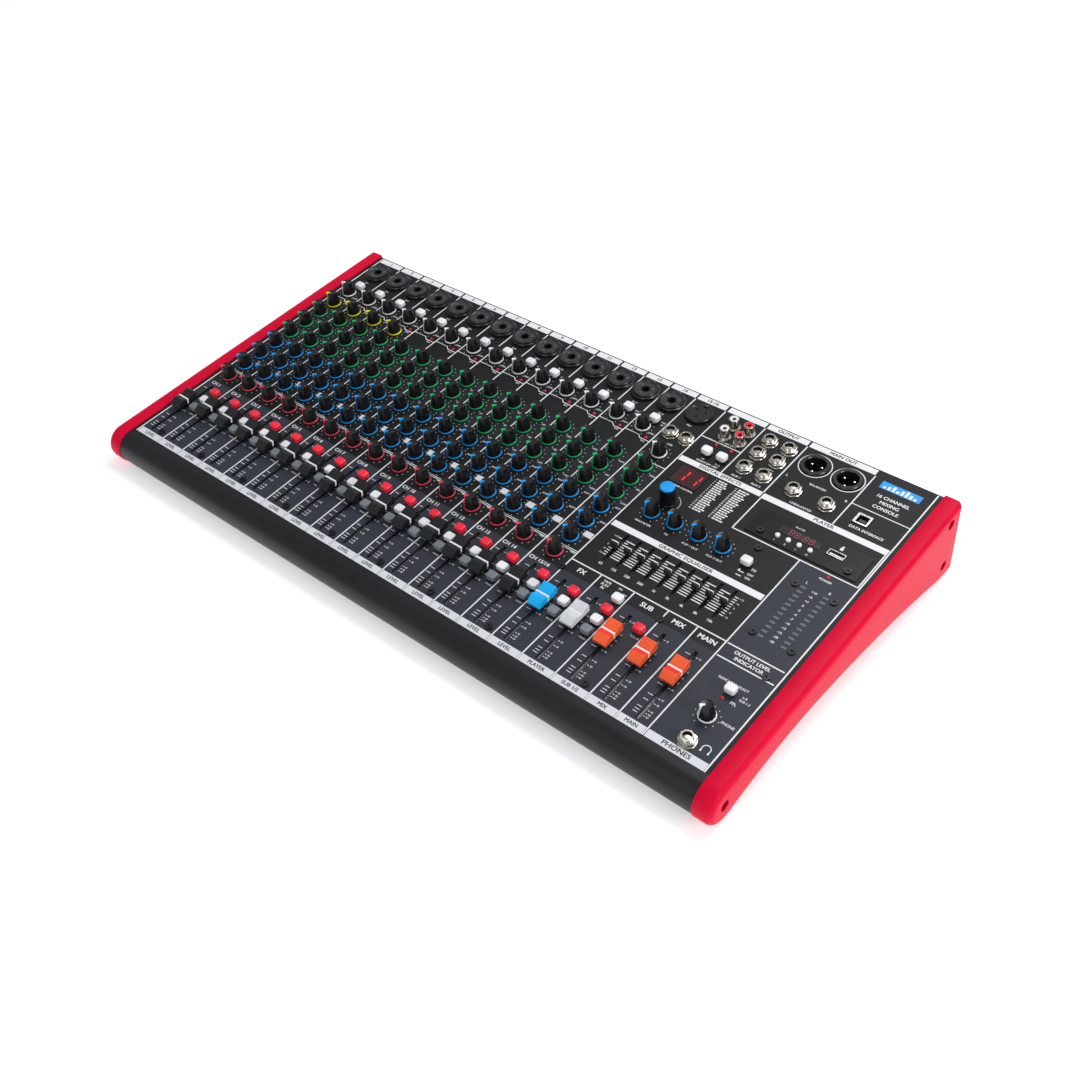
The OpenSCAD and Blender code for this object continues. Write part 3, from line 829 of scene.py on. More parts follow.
@dataclass
class Cheek:
    """A red side cheek: round nose, arched foot and softly rounded outer edges."""

    thickness: float = 15.0
    proud: float = 1.2
    nose_radius: float = 15.57
    nose_y: float = -5.0
    back: float = 299.0
    foot: float = 30.5
    rounding: float = 5.0
    arch_rise: float = 15.8
    arch: tuple[float, float, float] = (2.5, 112.5, 281.7)
    screws: tuple[Point, ...] = ((281.7, -7), (280.5, -49), (-5, -14))

    counterbores: tuple[Point, ...] = ((4.2, 5.0), (2.2, 20.0))
    drill_reach: float = 4.0
    nose_steps: int = 18
    arch_steps: int = 14
    inner_rounding: float = 0.6

    def outline(self) -> BMesh:
        """The side view as a closed chain in the plane of y and z, x being zero."""
        nose = PLAN.turned(self.nose_y, self.proud - self.nose_radius)
        floor = nose[1] - self.nose_radius
        tilt = math.radians(PLAN.tilt)
        back_n = (-self.foot - self.back * math.sin(tilt)) / math.cos(tilt)
        bm = bmesh.new()
        bm.verts.new((0, *PLAN.turned(self.nose_y, self.proud)))
        self._arc(bm, nose, math.pi - tilt, self.nose_steps)
        front, peak, rear = self.arch
        self._line(bm, front, floor)
        for run in (peak - front, rear - peak):
            radius = (run * run + self.arch_rise * self.arch_rise) / (2 * self.arch_rise)
            centre = (peak, floor + self.arch_rise - radius)
            self._arc(bm, centre, -math.asin(run / radius), self.arch_steps)
        self._line(bm, PLAN.turned(self.back, back_n)[0], floor)
        self._line(bm, *PLAN.turned(self.back, self.proud))
        bm.verts.ensure_lookup_table()
        bm.edges.new((bm.verts[-1], bm.verts[0]))
        return bm

    @staticmethod
    def _line(bm: BMesh, y: float, z: float) -> None:
        """Joins the last vertex to a new one."""
        bm.verts.ensure_lookup_table()
        last = bm.verts[-1]
        bm.edges.new((last, bm.verts.new((0, y, z))))

    @staticmethod
    def _arc(bm: BMesh, centre: Point, angle: float, steps: int) -> None:
        """Carries the last vertex round a centre, leaving a chain of edges."""
        bm.verts.ensure_lookup_table()
        bmesh.ops.spin(bm, geom=[bm.verts[-1]], cent=(0, *centre), axis=(1, 0, 0), angle=angle,
                       steps=steps, use_merge=False, use_duplicate=False)

    def build(self, side: int) -> Object:
        """Builds one cheek.

        Args:
            side: -1 for the left cheek, 1 for the right one.

        Returns:
            The cheek.
        """
        bm = self.outline()
        face = bmesh.ops.contextual_create(bm, geom=bm.edges[:])["faces"][0]
        grown = bmesh.ops.extrude_face_region(bm, geom=[face], use_keep_orig=True)
        outer = [g for g in grown["geom"] if isinstance(g, BMVert)]
        bmesh.ops.translate(bm, verts=outer, vec=(self.thickness, 0, 0))
        rim = [e for e in bm.edges if all(v in outer for v in e.verts)]
        bmesh.ops.bevel(bm, geom=rim, offset=self.rounding, offset_type="OFFSET", segments=7,
                        profile=0.5, affect="EDGES", material=-1, clamp_overlap=True)
        inner = [e for e in bm.edges if all(abs(v.co.x) < 1e-6 for v in e.verts)]
        Form.soften(bm, inner, self.inner_rounding)
        bmesh.ops.remove_doubles(bm, verts=bm.verts[:], dist=1e-3)
        bmesh.ops.translate(bm, verts=bm.verts[:], vec=(PLAN.half_width, 0, 0))
        if side < 0:
            bmesh.ops.scale(bm, verts=bm.verts[:], vec=(-1, 1, 1))
        form = Form(Paint.CHEEK, Paint.HOLE_SHADE)
        form.bm.free()
        form.bm = bm
        name = ("left" if side < 0 else "right") + "_cheek"
        obj = form.piece(name + "_moulding", "chassis", [name], PLAN.level(), 40)
        self._drill(obj, side)
        return obj

    def _drill(self, obj: Object, side: int) -> None:
        """Cuts the screws' counterbores into a cheek."""
        cutter = bmesh.new()
        face = PLAN.half_width + self.thickness
        top = face + self.drill_reach
        for y, n in self.screws:
            for radius, depth in self.counterbores:
                low = face - depth
                place = (Matrix.Translation((side * (low + top) / 2, *PLAN.turned(y, n)))
                         @ Matrix.Rotation(math.pi / 2, 4, "Y"))
                bmesh.ops.create_cone(cutter, cap_ends=True, segments=32, radius1=radius,
                                      radius2=radius, depth=top - low, matrix=place)
        mesh = settle(cutter, "drill")
        mesh.transform(PLAN.level())
        drill = enter("drill", mesh)
        cut = obj.modifiers.new("screws", "BOOLEAN")
        cut.object, cut.operation, cut.solver, cut.use_self = drill, "DIFFERENCE", "EXACT", True
        bpy.context.view_layer.update()
        done = bpy.data.meshes.new_from_object(
            obj.evaluated_get(bpy.context.evaluated_depsgraph_get()))
        obj.modifiers.clear()
        obj.data = done
        bpy.data.objects.remove(drill)


@dataclass
class FrontRoll:
    """The rolled sheet below the panel's front edge."""

    radius: float = 14.6
    centre_y: float = -5.2
    sheet: float = 1.5
    lip: float = 14
    steps: int = 28

    def build(self) -> Object:
        """Sweeps the roll's profile across the console."""
        form = Form(Paint.ROLL)
        centre = PLAN.turned(self.centre_y, -self.radius)
        tilt = math.radians(PLAN.tilt)
        start, end = math.pi / 2 + tilt, 1.5 * math.pi
        angles = [start + (end - start) * k / self.steps for k in range(self.steps + 1)]
        rim = [[(centre[0] + r * math.cos(a), centre[1] + r * math.sin(a)) for a in angles]
               for r in (self.radius, self.radius - self.sheet)]
        low = centre[1] - self.radius
        inside = centre[0] + self.lip
        outline = ([PLAN.turned(0, 0)] + rim[0] + [(inside, low), (inside, low + self.sheet)]
                   + rim[1][::-1] + [PLAN.turned(0, -self.sheet)])
        form.prism(outline, -PLAN.half_width, PLAN.half_width, "X")
        return form.piece("rolled_front", "chassis", ["front_roll"],
                          PLAN.level(), 25)


# ---------------------------------------------------------------- knobs

@dataclass
class Knob:
    """A tapered, fluted black knob with a coloured skirt and pointer."""

    colour: Paint
    skirt: float = 6.5
    foot: float = 6.0
    top: float = 4.1
    height: float = 13.0
    shaft: float = 3.0
    flutes: int = 10
    pointer: float = math.radians(233)

    def template(self) -> Mesh:
        """One knob about the origin, pointer at its lowest setting."""
        form = Form(Paint.KNOB, self.colour)
        form.use(self.colour)
        form.lathe([(0, 1.5), (self.foot, 1.5), (self.skirt - 0.15, 1.35), (self.skirt, 1.1),
                    (self.skirt, 0.5), (0, 0.5)], steps=24, closed=False)
        form.use(Paint.KNOB)
        form.fluted((0, 0), self.foot, self.top, 1.45, self.height - 0.25, self.flutes, 0.92)
        form.cone((0, 0), self.shaft, self.shaft, -8, 0.5, 12)
        form.use(self.colour)
        self._pointer(form)
        return form.mesh("knob " + self.colour.name.lower())

    def _pointer(self, form: Form) -> None:
        """A raised stripe down the side that wraps over onto the top."""
        stripe = [(self.foot - 0.9, 1.3), (self.foot + 0.3, 1.3), (self.top + 0.4, self.height),
                  (self.top - 0.2, self.height + 0.1), (1.3, self.height + 0.02),
                  (1.3, self.height - 0.8)]
        mark = Form(self.colour)
        mark.prism(stripe, -0.8, 0.8, "X")
        mesh = mark.mesh("stripe")
        mesh.transform(Matrix.Rotation(-math.pi / 2, 4, "Z"))
        tip = Form(self.colour)
        tip.prism([(self.top - 2.4, -0.5), (self.top + 0.3, -1.45), (self.top + 0.75, -1.1),
                   (self.top + 0.75, 1.1), (self.top + 0.3, 1.45), (self.top - 2.4, 0.5)],
                  self.height - 2.0, self.height + 0.25)
        for part in (mesh, tip.mesh("tip")):
            form.stamp(part, Matrix.Rotation(self.pointer, 4, "Z"), own_finish=False)

    def group(self, name: str, body: str, node: str, points: Sequence[Point]) -> Object:
        """A set of these knobs as one piece.

        Args:
            name: the piece's name.
            body: the CAD body they ride on.
            node: the CAD node that they replace.
            points: where each one stands on the panel.

        Returns:
            The piece.
        """
        form = Form(Paint.KNOB, self.colour)
        form.at(self.template(), points)
        return form.piece(name, body, [node], sharp=42)


class Encoder:
    """The tall effects selector with a blue cap."""

    def build(self) -> Object:
        """Skirt, fluted barrel and blue cap."""
        form = Form(Paint.KNOB, Paint.BLUE)
        form.lathe(SELECTOR_SKIRT, ENCODER, 32, False)
        form.fluted(ENCODER, 6.2, 5.8, 2, 15.6, 16, 0.93)
        form.cone(ENCODER, 3, 3, -8, 0.5, 16)
        form.use(Paint.BLUE).lathe(SELECTOR_CAP, ENCODER, 32, True)
        return form.piece("effects_selector", "effects_encoder",
                          ["effects_encoder"], sharp=35)


# ---------------------------------------------------------------- faders and buttons

@dataclass
class FaderCap:
    """A long fader's cap: ribbed rear slope, finger hollow in a darker paint as painted shade,
    white line.
    """

    body_paint: Paint
    # The paint of the finger hollow: on the orange caps a darker orange as painted shade.
    valley_shade: Paint
    width: float = 11.3
    length: float = 21.0
    taper: float = 0.012
    taper_from: float = 5.0
    ribs: int = 4

    def build(self, index: int) -> Object:
        """Builds the cap of one fader, numbered from one."""
        form = Form(self.body_paint, self.valley_shade, Paint.PRINT)
        half = self.length / 2
        slope = [(half - 0.2, 9.7), (half - 1.6, 11.0)]
        for k in range(self.ribs):
            y, z = half - 2.3 - 1.75 * k, 10.85 - 0.55 * k
            slope += [(y, z), (y - 0.35, z - 0.5), (y - 0.75, z - 0.45)]
        outline = ([(-half + 0.5, 4), (half - 0.5, 4)] + slope
                   + [(1.1, 8.5), (0.1, 8.4), (-0.6, 8.5), (-4.2, 10.3), (-4.9, 10.3),
                      (-half + 0.2, 6.4)])
        form.prism(outline, -self.width / 2, self.width / 2, "X", 0.28, 1)
        # The finger hollow's faces take the second paint, the hollow's painted shade.
        for face in form.bm.faces:
            middle = face.calc_center_median()
            if -4.3 < middle.y < 0.1 and middle.z > 8.3 and abs(face.normal.x) < 0.5:
                face.material_index = 1
        for vert in form.bm.verts:
            vert.co.x *= 1 - self.taper * max(0.0, vert.co.z - self.taper_from)
        form.use(Paint.PRINT)
        w = self.width / 2
        form.block((-w + 0.2, -0.15, 8.1), (w - 0.15, 1.25, 8.75), 0.12, 1)
        side = [(-0.15, 8.62), (1.25, 8.62), (0.45, 4.6), (-0.95, 4.6)]
        form.prism(side, w - 0.5, w + 0.06, "X")
        form.prism(side, -w - 0.06, -w + 0.5, "X")
        form.use(self.body_paint).block((-0.6, -2.5, -5.4), (0.6, 2.5, 4.2))
        x, y = PLAN.fader_x[index - 1], PLAN.fader_y[index - 1]
        place = PLAN.panel() @ Matrix.Translation((x, y, 0))
        body = f"fader_{index}"
        return form.piece(f"fader_cap_{index}", body, [body],
                          place, 30)


class EqSliders:
    """The nine small equaliser sliders."""

    def build(self) -> Object:
        """Small caps with a white line each."""
        one = Form(Paint.FADER_BLACK, Paint.PRINT)
        one.prism([(-3.5, 2), (3.5, 2), (3.3, 6.2), (2.4, 7.5), (0.6, 6.6), (-0.6, 6.6),
                   (-2.4, 7.5), (-3.3, 6.2)], -2.5, 2.5, "X", 0.2, 1)
        one.block((-0.5, -1.5, -5), (0.5, 1.5, 2.1))
        one.use(Paint.PRINT).block((-2.3, -0.42, 6.3), (2.3, 0.42, 6.82))
        one.prism([(-0.42, 6.7), (0.42, 6.7), (0.1, 4.6), (-0.74, 4.6)], 2.2, 2.56, "X")
        form = Form(Paint.FADER_BLACK, Paint.PRINT)
        form.at(one.mesh("eq cap"), [(x, EQ_Y) for x in EQ_X])
        return form.piece("eq_slider_caps", "eq_sliders", ["eq_sliders"])


@dataclass
class Buttons:
    """A group of pillow-topped push-buttons of one colour."""

    paint: Paint
    body: str
    size: tuple[float, float, float] = (8.3, 7.0, 3.8)
    middle: float = 4.3

    def template(self) -> Mesh:
        """One button at rest about the origin."""
        form = Form(self.paint)
        cap = bmesh.new()
        bmesh.ops.create_cube(cap, size=1, matrix=Matrix.Translation((0, 0, self.middle))
                              @ Matrix.Diagonal((*self.size, 1)))
        form.soften(cap, [e for e in cap.edges
                          if abs(e.verts[0].co.z - e.verts[1].co.z) > 1], 1.9, 3)
        lid = [f for f in cap.faces if f.normal.z > 0.9]
        form.soften(cap, {e for f in lid for e in f.edges}, 1.0, 3)
        form.take(cap)
        form.block((-1.5, -1.5, -6.5), (1.5, 1.5, 2.6))
        return form.mesh("button")

    def build(self, name: str, points: Sequence[Point]) -> Object:
        """All the buttons of the group as one piece."""
        form = Form(self.paint)
        form.at(self.template(), points)
        return form.piece(name, self.body, [self.body], sharp=50)


# ---------------------------------------------------------------- sockets

class Sockets:
    """Trim and turned parts of the sockets."""

    deep_from = 232

    def combos(self) -> Object:
        """Bevelled flange rims, contact sleeves and a release tab on each combination socket, with
        its holes in painted shade.
        """
        one = Form(Paint.SOCKET, Paint.SOCKET_FACE, Paint.BRIGHT, Paint.HOLE_SHADE)
        one.lathe(COMBO_FLANGE, steps=48)
        one.lathe(COMBO_COLLAR, steps=48)
        one.use(Paint.SOCKET_FACE).block((-2.3, 9.0, 2.6), (2.3, 11.2, 4.7), 0.4, 2)
        one.lathe(COMBO_BEVEL, steps=48)
        one.lathe(COMBO_FACE, steps=48)
        # Flat near-black lobes over the face stand in for the pin holes as painted shade.
        lobe = [(2.6, -1.5), (6.2, -1.75), (7.1, -1.2), (7.4, 0), (7.1, 1.2), (6.2, 1.75),
                (2.6, 1.5)]
        for angle, point in zip(CONTACT_ANGLES, ring(5.8, CONTACT_ANGLES)):
            a = math.radians(angle)
            turned = [(u * math.cos(a) - v * math.sin(a), u * math.sin(a) + v * math.cos(a))
                      for u, v in lobe]
            one.use(Paint.HOLE_SHADE).prism(turned, 3.1, 3.27)
            one.use(Paint.BRIGHT).lathe(COMBO_CONTACT, point, 12)
        # The jack's mouth ring, its bore lining and the plug below are painted shade.
        one.use(Paint.HOLE_SHADE).lathe(COMBO_MOUTH, steps=32)
        one.lathe(COMBO_LINING, steps=24)
        one.cone((0, 0), 3.9, 3.9, -16.9, -6, 24)
        form = Form(Paint.SOCKET, Paint.SOCKET_FACE, Paint.BRIGHT, Paint.HOLE_SHADE)
        form.at(one.mesh("combo trim"), COMBOS)
        return form.piece("combo_trim", "chassis")

    def xlr(self) -> Object:
        """Rims, round-nosed pins and the latch tab of the three-pin sockets."""
        form = Form(Paint.SOCKET, Paint.SOCKET_FACE, Paint.BRIGHT, Paint.HOLE_SHADE)
        form.lathe(INLET_RIM, XLR_IN, 48)
        form.use(Paint.SOCKET_FACE)
        x, y = XLR_IN
        form.block((x - 2.2, y + 8.2, 2.2), (x + 2.2, y + 10.8, 3.9), 0.4, 2)
        for point in ring(PIN_CIRCLE, CONTACT_ANGLES, XLR_IN):
            form.use(Paint.BRIGHT).lathe(INLET_SLEEVE, point, 12)
            # A near-black plug in each pin hole is painted shade.
            form.use(Paint.HOLE_SHADE).cone(point, 1.3, 1.3, -8, -1.0, 12)
        for centre in XLR_OUT:
            form.use(Paint.SOCKET).lathe(OUTLET_RIM, centre, 48)
            form.use(Paint.BRIGHT)
            for point in ring(PIN_CIRCLE, CONTACT_ANGLES, centre):
                form.lathe(OUTLET_PIN, point, 16, False)
        return form.piece("xlr_trim", "chassis")

    def jacks(self) -> Object:
        """Nickel bushings with thread rings and a bore in painted shade, in place of the plain
        jacks.
        """
        one = Form(Paint.NICKEL, Paint.HOLE_SHADE, Paint.SOCKET)
        thread = [point for k in range(5)
                  for point in ((4.62, 3.2 + 0.42 * k), (4.8, 3.2 + 0.42 * k + 0.21))]
        one.lathe([(3.9, 0.5), (3.25, 0.5), (3.25, 5.2), (3.45, 5.5), (4.4, 5.5), (4.75, 5.2)]
                  + thread[::-1] + [(4.62, 3.1), (4.62, 0), (4.8, 0), (4.8, -1.6), (3.9, -1.6)],
                  steps=32)
        # A near-black plug and lining darken the bore as painted shade.
        one.use(Paint.HOLE_SHADE).cone((0, 0), 3.85, 3.85, -11, -2.5, 24)
        one.lathe(JACK_LINING, steps=24)
        one.use(Paint.NICKEL).block((1.9, -0.6, 1.2), (3.2, 0.6, 2.4), 0.25, 1)
        mesh = one.mesh("jack bushing")
        form = Form(Paint.NICKEL, Paint.HOLE_SHADE, Paint.SOCKET)
        for x, y in JACKS:
            form.stamp(mesh, Matrix.Translation((x, y, 0)))
            form.use(Paint.SOCKET)
            low = -20 if y > self.deep_from else -12
            form.block((x - 6, y - 7.5, low), (x + 6, y + 7.5, -1.6), 0.5, 1)
        return form.piece("jack_bushings", "chassis", ["jack_sockets"])

    def nuts(self) -> Object:
        """Domed washers and chamfered hexagon nuts."""
        one = Form(Paint.NICKEL)
        one.lathe(JACK_WASHER, steps=40)
        nut = bmesh.new()
        bmesh.ops.create_cone(nut, cap_ends=True, segments=6, radius1=6.75, radius2=6.75,
                              depth=2.3, matrix=Matrix.Translation((0, 0, 2.05)))
        one.soften(nut, [e for e in nut.edges
                         if abs(e.verts[0].co.z - e.verts[1].co.z) > 1], 0.25)
        lid = [f for f in nut.faces if f.normal.z > 0.9]
        one.soften(nut, {e for f in lid for e in f.edges}, 0.45)
        one.take(nut)
        form = Form(Paint.NICKEL)
        form.at(one.mesh("jack nut"), JACKS, math.radians(12))
        return form.piece("hexagon_nuts", "chassis", ["jack_nuts"])

    def phonos(self) -> Object:
        """Phono sockets: plated barrels with a white or red insert."""
        form = Form(Paint.NICKEL, Paint.WHITE, Paint.BUTTON_RED, Paint.HOLE_SHADE)
        for k, (x, y) in enumerate(PHONOS):
            form.use(Paint.NICKEL).lathe(PHONO_BARREL, (x, y), 32)
            form.use(Paint.WHITE if k % 2 == 0 else Paint.BUTTON_RED)
            form.lathe(PHONO_INSERT, (x, y), 32)
            form.use(Paint.NICKEL).lathe(PHONO_SLEEVE, (x, y), 20)
            # A near-black plug in the centre hole is painted shade.
            form.use(Paint.HOLE_SHADE).cone((x, y), 1.45, 1.45, 1, 4, 16)
        return form.piece("phono_barrels", "chassis", ["phono_sockets"])

    def data(self) -> Object:
        """Contact blades and rims of the two data sockets."""
        form = Form(Paint.BRIGHT, Paint.SOCKET, Paint.WHITE, Paint.NICKEL)
        x, y = 544.8, 244.0
        form.use(Paint.BRIGHT).rim((x - 6, x + 6, y - 5.45, y + 5.45), 0.9, 0.85, 0.7, 1.15, 0.12)
        form.use(Paint.SOCKET)
        form.block((x - 2.85, y - 1.65, -10), (x + 2.85, y + 1.65, -0.9), 0.15, 1)
        form.block((x - 5.0, y - 4.5, -6), (x + 5.0, y - 3.2, 0.4))
        form.use(Paint.NICKEL)
        for dx in (-1.5, 1.5):
            form.block((x + dx - 0.4, y - 1.75, -9), (x + dx + 0.4, y + 1.75, -1.6))
        x, y = 547.5, 203.1
        form.use(Paint.WHITE).block((x - 5.45, y - 0.3, -10), (x + 5.45, y + 0.9, 0.1), 0.1, 1)
        form.use(Paint.NICKEL)
        for dx in (-3.5, -1.2, 1.2, 3.5):
            form.block((x + dx - 0.5, y - 0.5, -9), (x + dx + 0.5, y - 0.25, -0.4))
        return form.piece("data_contacts", "chassis")


# ---------------------------------------------------------------- displays and lamps

class Displays:
    """Lit digits, meter segments and status lamps."""

    segment_gap = 1.15
    slant = 0.12
    segment_rise = 0.06
    label_level = 0.82

    def digit(self, form: Form, x: float, y: float, w: float, h: float, t: float, level: float,
              lit: str, on: Paint, off: Paint) -> None:
        """A seven-segment digit.

        Args:
            form: the form it is added to.
            x: its centre across.
            y: its centre up the slope.
            w: its width.
            h: its height.
            t: the width of a segment.
            level: the height of its base above the panel.
            lit: the lit segments, as letters a to g.
            on: the finish of a lit segment.
            off: the finish of an unlit one.
        """
        spans = {"a": (0, h / 2, w, t), "d": (0, -h / 2, w, t), "g": (0, 0, w, t),
                 "b": (w / 2, h / 4, t, h / 2), "c": (w / 2, -h / 4, t, h / 2),
                 "f": (-w / 2, h / 4, t, h / 2), "e": (-w / 2, -h / 4, t, h / 2)}
        for key, (dx, dy, sx, sy) in spans.items():
            form.use(on if key in lit else off)
            gap = t * self.segment_gap
            sx, sy = (sx - gap, sy) if sx > sy else (sx, sy - gap)
            across = x + dx + dy * self.slant
            form.block((across - sx / 2, y + dy - sy / 2, level),
                       (across + sx / 2, y + dy + sy / 2, level + self.segment_rise))

    def program(self) -> Object:
        """The two red digits of the effects program and the window's frame."""
        form = Form(Paint.DIGIT, Paint.DIGIT_OFF, Paint.PLAYER)
        for dx in (-5.4, 5.6):
            self.digit(form, 415.4 + dx, 210.8, 6.2, 12.4, 1.35, 0.41, "bc", Paint.DIGIT,
                       Paint.DIGIT_OFF)
        form.use(Paint.PLAYER).rim((402.6, 428.2, 200.3, 221.7), 0.8, 0.8, 0.0, 0.55, 0.1)
        return form.piece("program_digits", "chassis")

    def player(self) -> Object:
        """The player's small window, its faint digits, labels and stick symbol."""
        form = Form(Paint.DIM_WINDOW, Paint.DIGIT_FAINT, Paint.PLAYER, Paint.PRINT)
        form.use(Paint.DIM_WINDOW).block((500.9, 200.3, 0.9), (534.8, 207.9, 1.06), 0.05, 1)
        for x in (510.6, 515.6, 522.2, 527.2):
            self.digit(form, x, 204.0, 2.8, 5.0, 0.5, 1.07, "abcdefg", Paint.DIGIT_FAINT,
                       Paint.DIM_WINDOW)
        form.use(Paint.DIGIT_FAINT)
        for dy in (-1.2, 1.2):
            form.block((518.6, 204 + dy - 0.3, 1.07), (519.2, 204 + dy + 0.3, 1.13))
        form.use(Paint.PRINT).block((546.6, 208.8, 0.8), (549.0, 211.6, 0.86))
        form.block((547.1, 211.8, 0.8), (548.5, 213.2, 0.86))
        LETTERS.put(form, "PLAYER", 513.5, 210.9, 1.7, 0, level=self.label_level)
        for x, text in zip(PLAYER_KEYS, ("<", "II", ">", "M")):
            LETTERS.put(form, text, x, 191.4, 1.8, 0, level=self.label_level)
        return form.piece("player_face", "chassis")

    def lamps(self) -> Object:
        """Meter segments and status lamps as lenses, in place of the plain lamp blocks."""
        bar = Form(Paint.LAMP)
        bar.block((-2.25, -1.0, -8), (2.25, 1.0, 0.3), 0.12, 1)
        form = Form(Paint.LAMP, Paint.LAMP_RED)
        form.at(bar.mesh("segment"), [(x, y) for x in METER_X for y in METER_Y])
        form.use(Paint.LAMP_RED)
        for point in STATUS_LAMPS:
            form.lathe(LAMP_LENS, point, 14, False)
        return form.piece("lamp_lenses", "chassis", ["indicator_lamps"])

    def keys(self) -> Object:
        """The player's four domed keys."""
        form = Form(Paint.BUTTON_WHITE)
        for x in PLAYER_KEYS:
            form.lathe(KEY_DOME, (x, 196.4), 20, False)
        return form.piece("player_keys", "player_buttons", ["player_buttons"])


# ---------------------------------------------------------------- printed artwork

LETTERS = Lettering()
BACK_LABELS: tuple[str, ...] = (*(str(k + 1) for k in range(PLAN.channels)), "15-16", "",
                                "OUTPUT", "MAIN OUT")
FRONT_LABELS: tuple[str, ...] = ("LEVEL",) * 16 + ("PLAYER", "SUB 1/2", "MIX", "MAIN", "PHONES")
SECTION_BARS = ((396.3, 470.2, 223.4, 228.9, "DIGITAL EFFECTS"),
                (471.4, 575.5, 222.9, 228.5, "PLAYER"),
                (396.9, 527.3, 137.9, 143.5, "GRAPHIC EQUALISER"))
FRONT_EDGE, BACK_EDGE, BACK_BAR = 0.1, 296.6, 290.7
# Upright lines: positions across, low end, high end, half width.
UPRIGHTS = ((PLAN.strips[1:] + [PLAN.stereo_left, PLAN.master_left], FRONT_EDGE, 290, 0.5),
            ([528.9], FRONT_EDGE, 185, 0.5),
            ([0.0, PLAN.frame_w], FRONT_EDGE, BACK_EDGE, 0.55),
            ([422.9, 452.2, 481.5, 506.2], FRONT_EDGE, 94.2, 0.5),
            ([432.2, 470.3, 528.9], 229, 290, 0.5),
            ([471.9, 575.0], 185.4, 222.9, 0.5))
# Level lines: left end, right end, middle, width.
CROSSINGS = ((396, 431.7, 255.9, 0.9), (396, 528.4, 94.2, 1.0), (471.6, 575.4, 185.4, 1.0),
             (530.2, 574.6, 93.9, 1.0), (530.2, 574.6, 81.2, 1.0), (529.4, 576, 255.4, 0.8))
EQ_MARKS = ("63", "125", "250", "500", "1k", "2k", "4k", "8k", "16k")
METER_MARKS = ("-30", "-20", "-16", "-12", "-10", "-7", "-4", "-2", "0", "+3", "+6", "+10")
# The row of every channel knob and the word beside it.
KNOB_WORDS = tuple(zip(PAN_ROWS + AUX_ROWS + TONE_ROWS,
                       ("PAN", "AUX 3", "AUX 2", "AUX 1", "LOW", "MID", "HIGH")))
BUTTON_WORDS = (("PFL", 62.2), ("SUB", 51.2), ("MAIN", 40.1))
MONO_WORDS = (("GAIN", 21.6, 235.6, 1.6), ("PAD", 22.4, 251.2, 1.5), ("-20", 22.4, 248.2, 1.5))
# Single words: word, across, up, height, boldness and stretch where they differ.
NOTES: tuple[tuple[Any, ...], ...] = (
    ("TO L-R", 476.4, 61.0, 1.7), ("FX", 409.0, 88.1, 4.2, TITLE, 1.05),
    ("SUB", 467.0, 88.1, 4.2, TITLE, 1.05), ("MIX", 493.8, 88.1, 4.2, TITLE, 1.05),
    ("MAIN", 517.6, 88.1, 4.2, TITLE, 1.05), ("TAPE", 430.6, 90.6, 2.1, 0.03),
    ("PLAY", 430.6, 87.5, 2.1, 0.03), ("IN", 430.6, 84.4, 2.1, 0.03),
    ("ON", 442.2, 90.6, 1.6), ("OFF", 447.8, 87.4, 1.6),
    ("PARAMETER", 415.5, 152.3, 1.9), ("FX", 436.5, 152.3, 1.9),
    ("AUX 1 OUT", 457.5, 152.3, 1.9), ("AUX 2 OUT", 478.5, 152.3, 1.9),
    ("PROGRAM CONTROL", 416.0, 198.4, 1.7), ("EQ", 508.2, 158.6, 2.0),
    ("OFF", 508.6, 153.2, 2.0), ("ON", 508.6, 149.4, 2.0), ("1-8", 411.4, 234.2, 1.8),
    ("9-14", 425.2, 234.2, 1.8), ("PHANTOM +48V", 417.6, 231.2, 1.9),
    ("REC IN / OUT", 418.4, 258.3, 1.9), ("AUX 1", 443.8, 232.0, 2.1),
    ("AUX 1", 443.8, 251.9, 1.4), ("AUX 1", 443.8, 269.8, 1.4), ("AUX 2", 461.2, 232.0, 2.1),
    ("AUX 2", 461.2, 251.9, 1.4), ("AUX 2", 461.2, 269.8, 1.4), ("BALANCED", 500.4, 255.6, 2.0),
    ("UNBALANCED", 500.6, 231.2, 2.0), ("L", 474.6, 254.4, 2.4), ("R", 524.9, 254.4, 2.4),
    ("LINE", 381.4, 233.2, 1.8), ("MIC", 380.4, 260.1, 1.8),
    ("DATA INTERFACE", 552.8, 234.6, 2.5, 0.03), ("16 CHANNEL", 552.8, 273.0, 3.3, 0.03),
    ("MIXING", 552.8, 267.3, 3.3, 0.03), ("CONSOLE", 552.8, 261.6, 3.3, 0.03),
    ("POWER", 553.6, 178.2, 2.1), ("OUTPUT LEVEL", 552.4, 89.8, 3.0, TITLE),
    ("INDICATOR", 552.4, 85.2, 3.0, TITLE), ("INDICATOR SELECT", 553.0, 67.0, 1.9),
    ("L-R", 565.6, 61.4, 1.8), ("SUB 1-2", 567.2, 58.4, 1.8), ("PFL", 561.8, 53.4, 2.4),
    ("PHONE", 568.6, 37.2, 2.2))


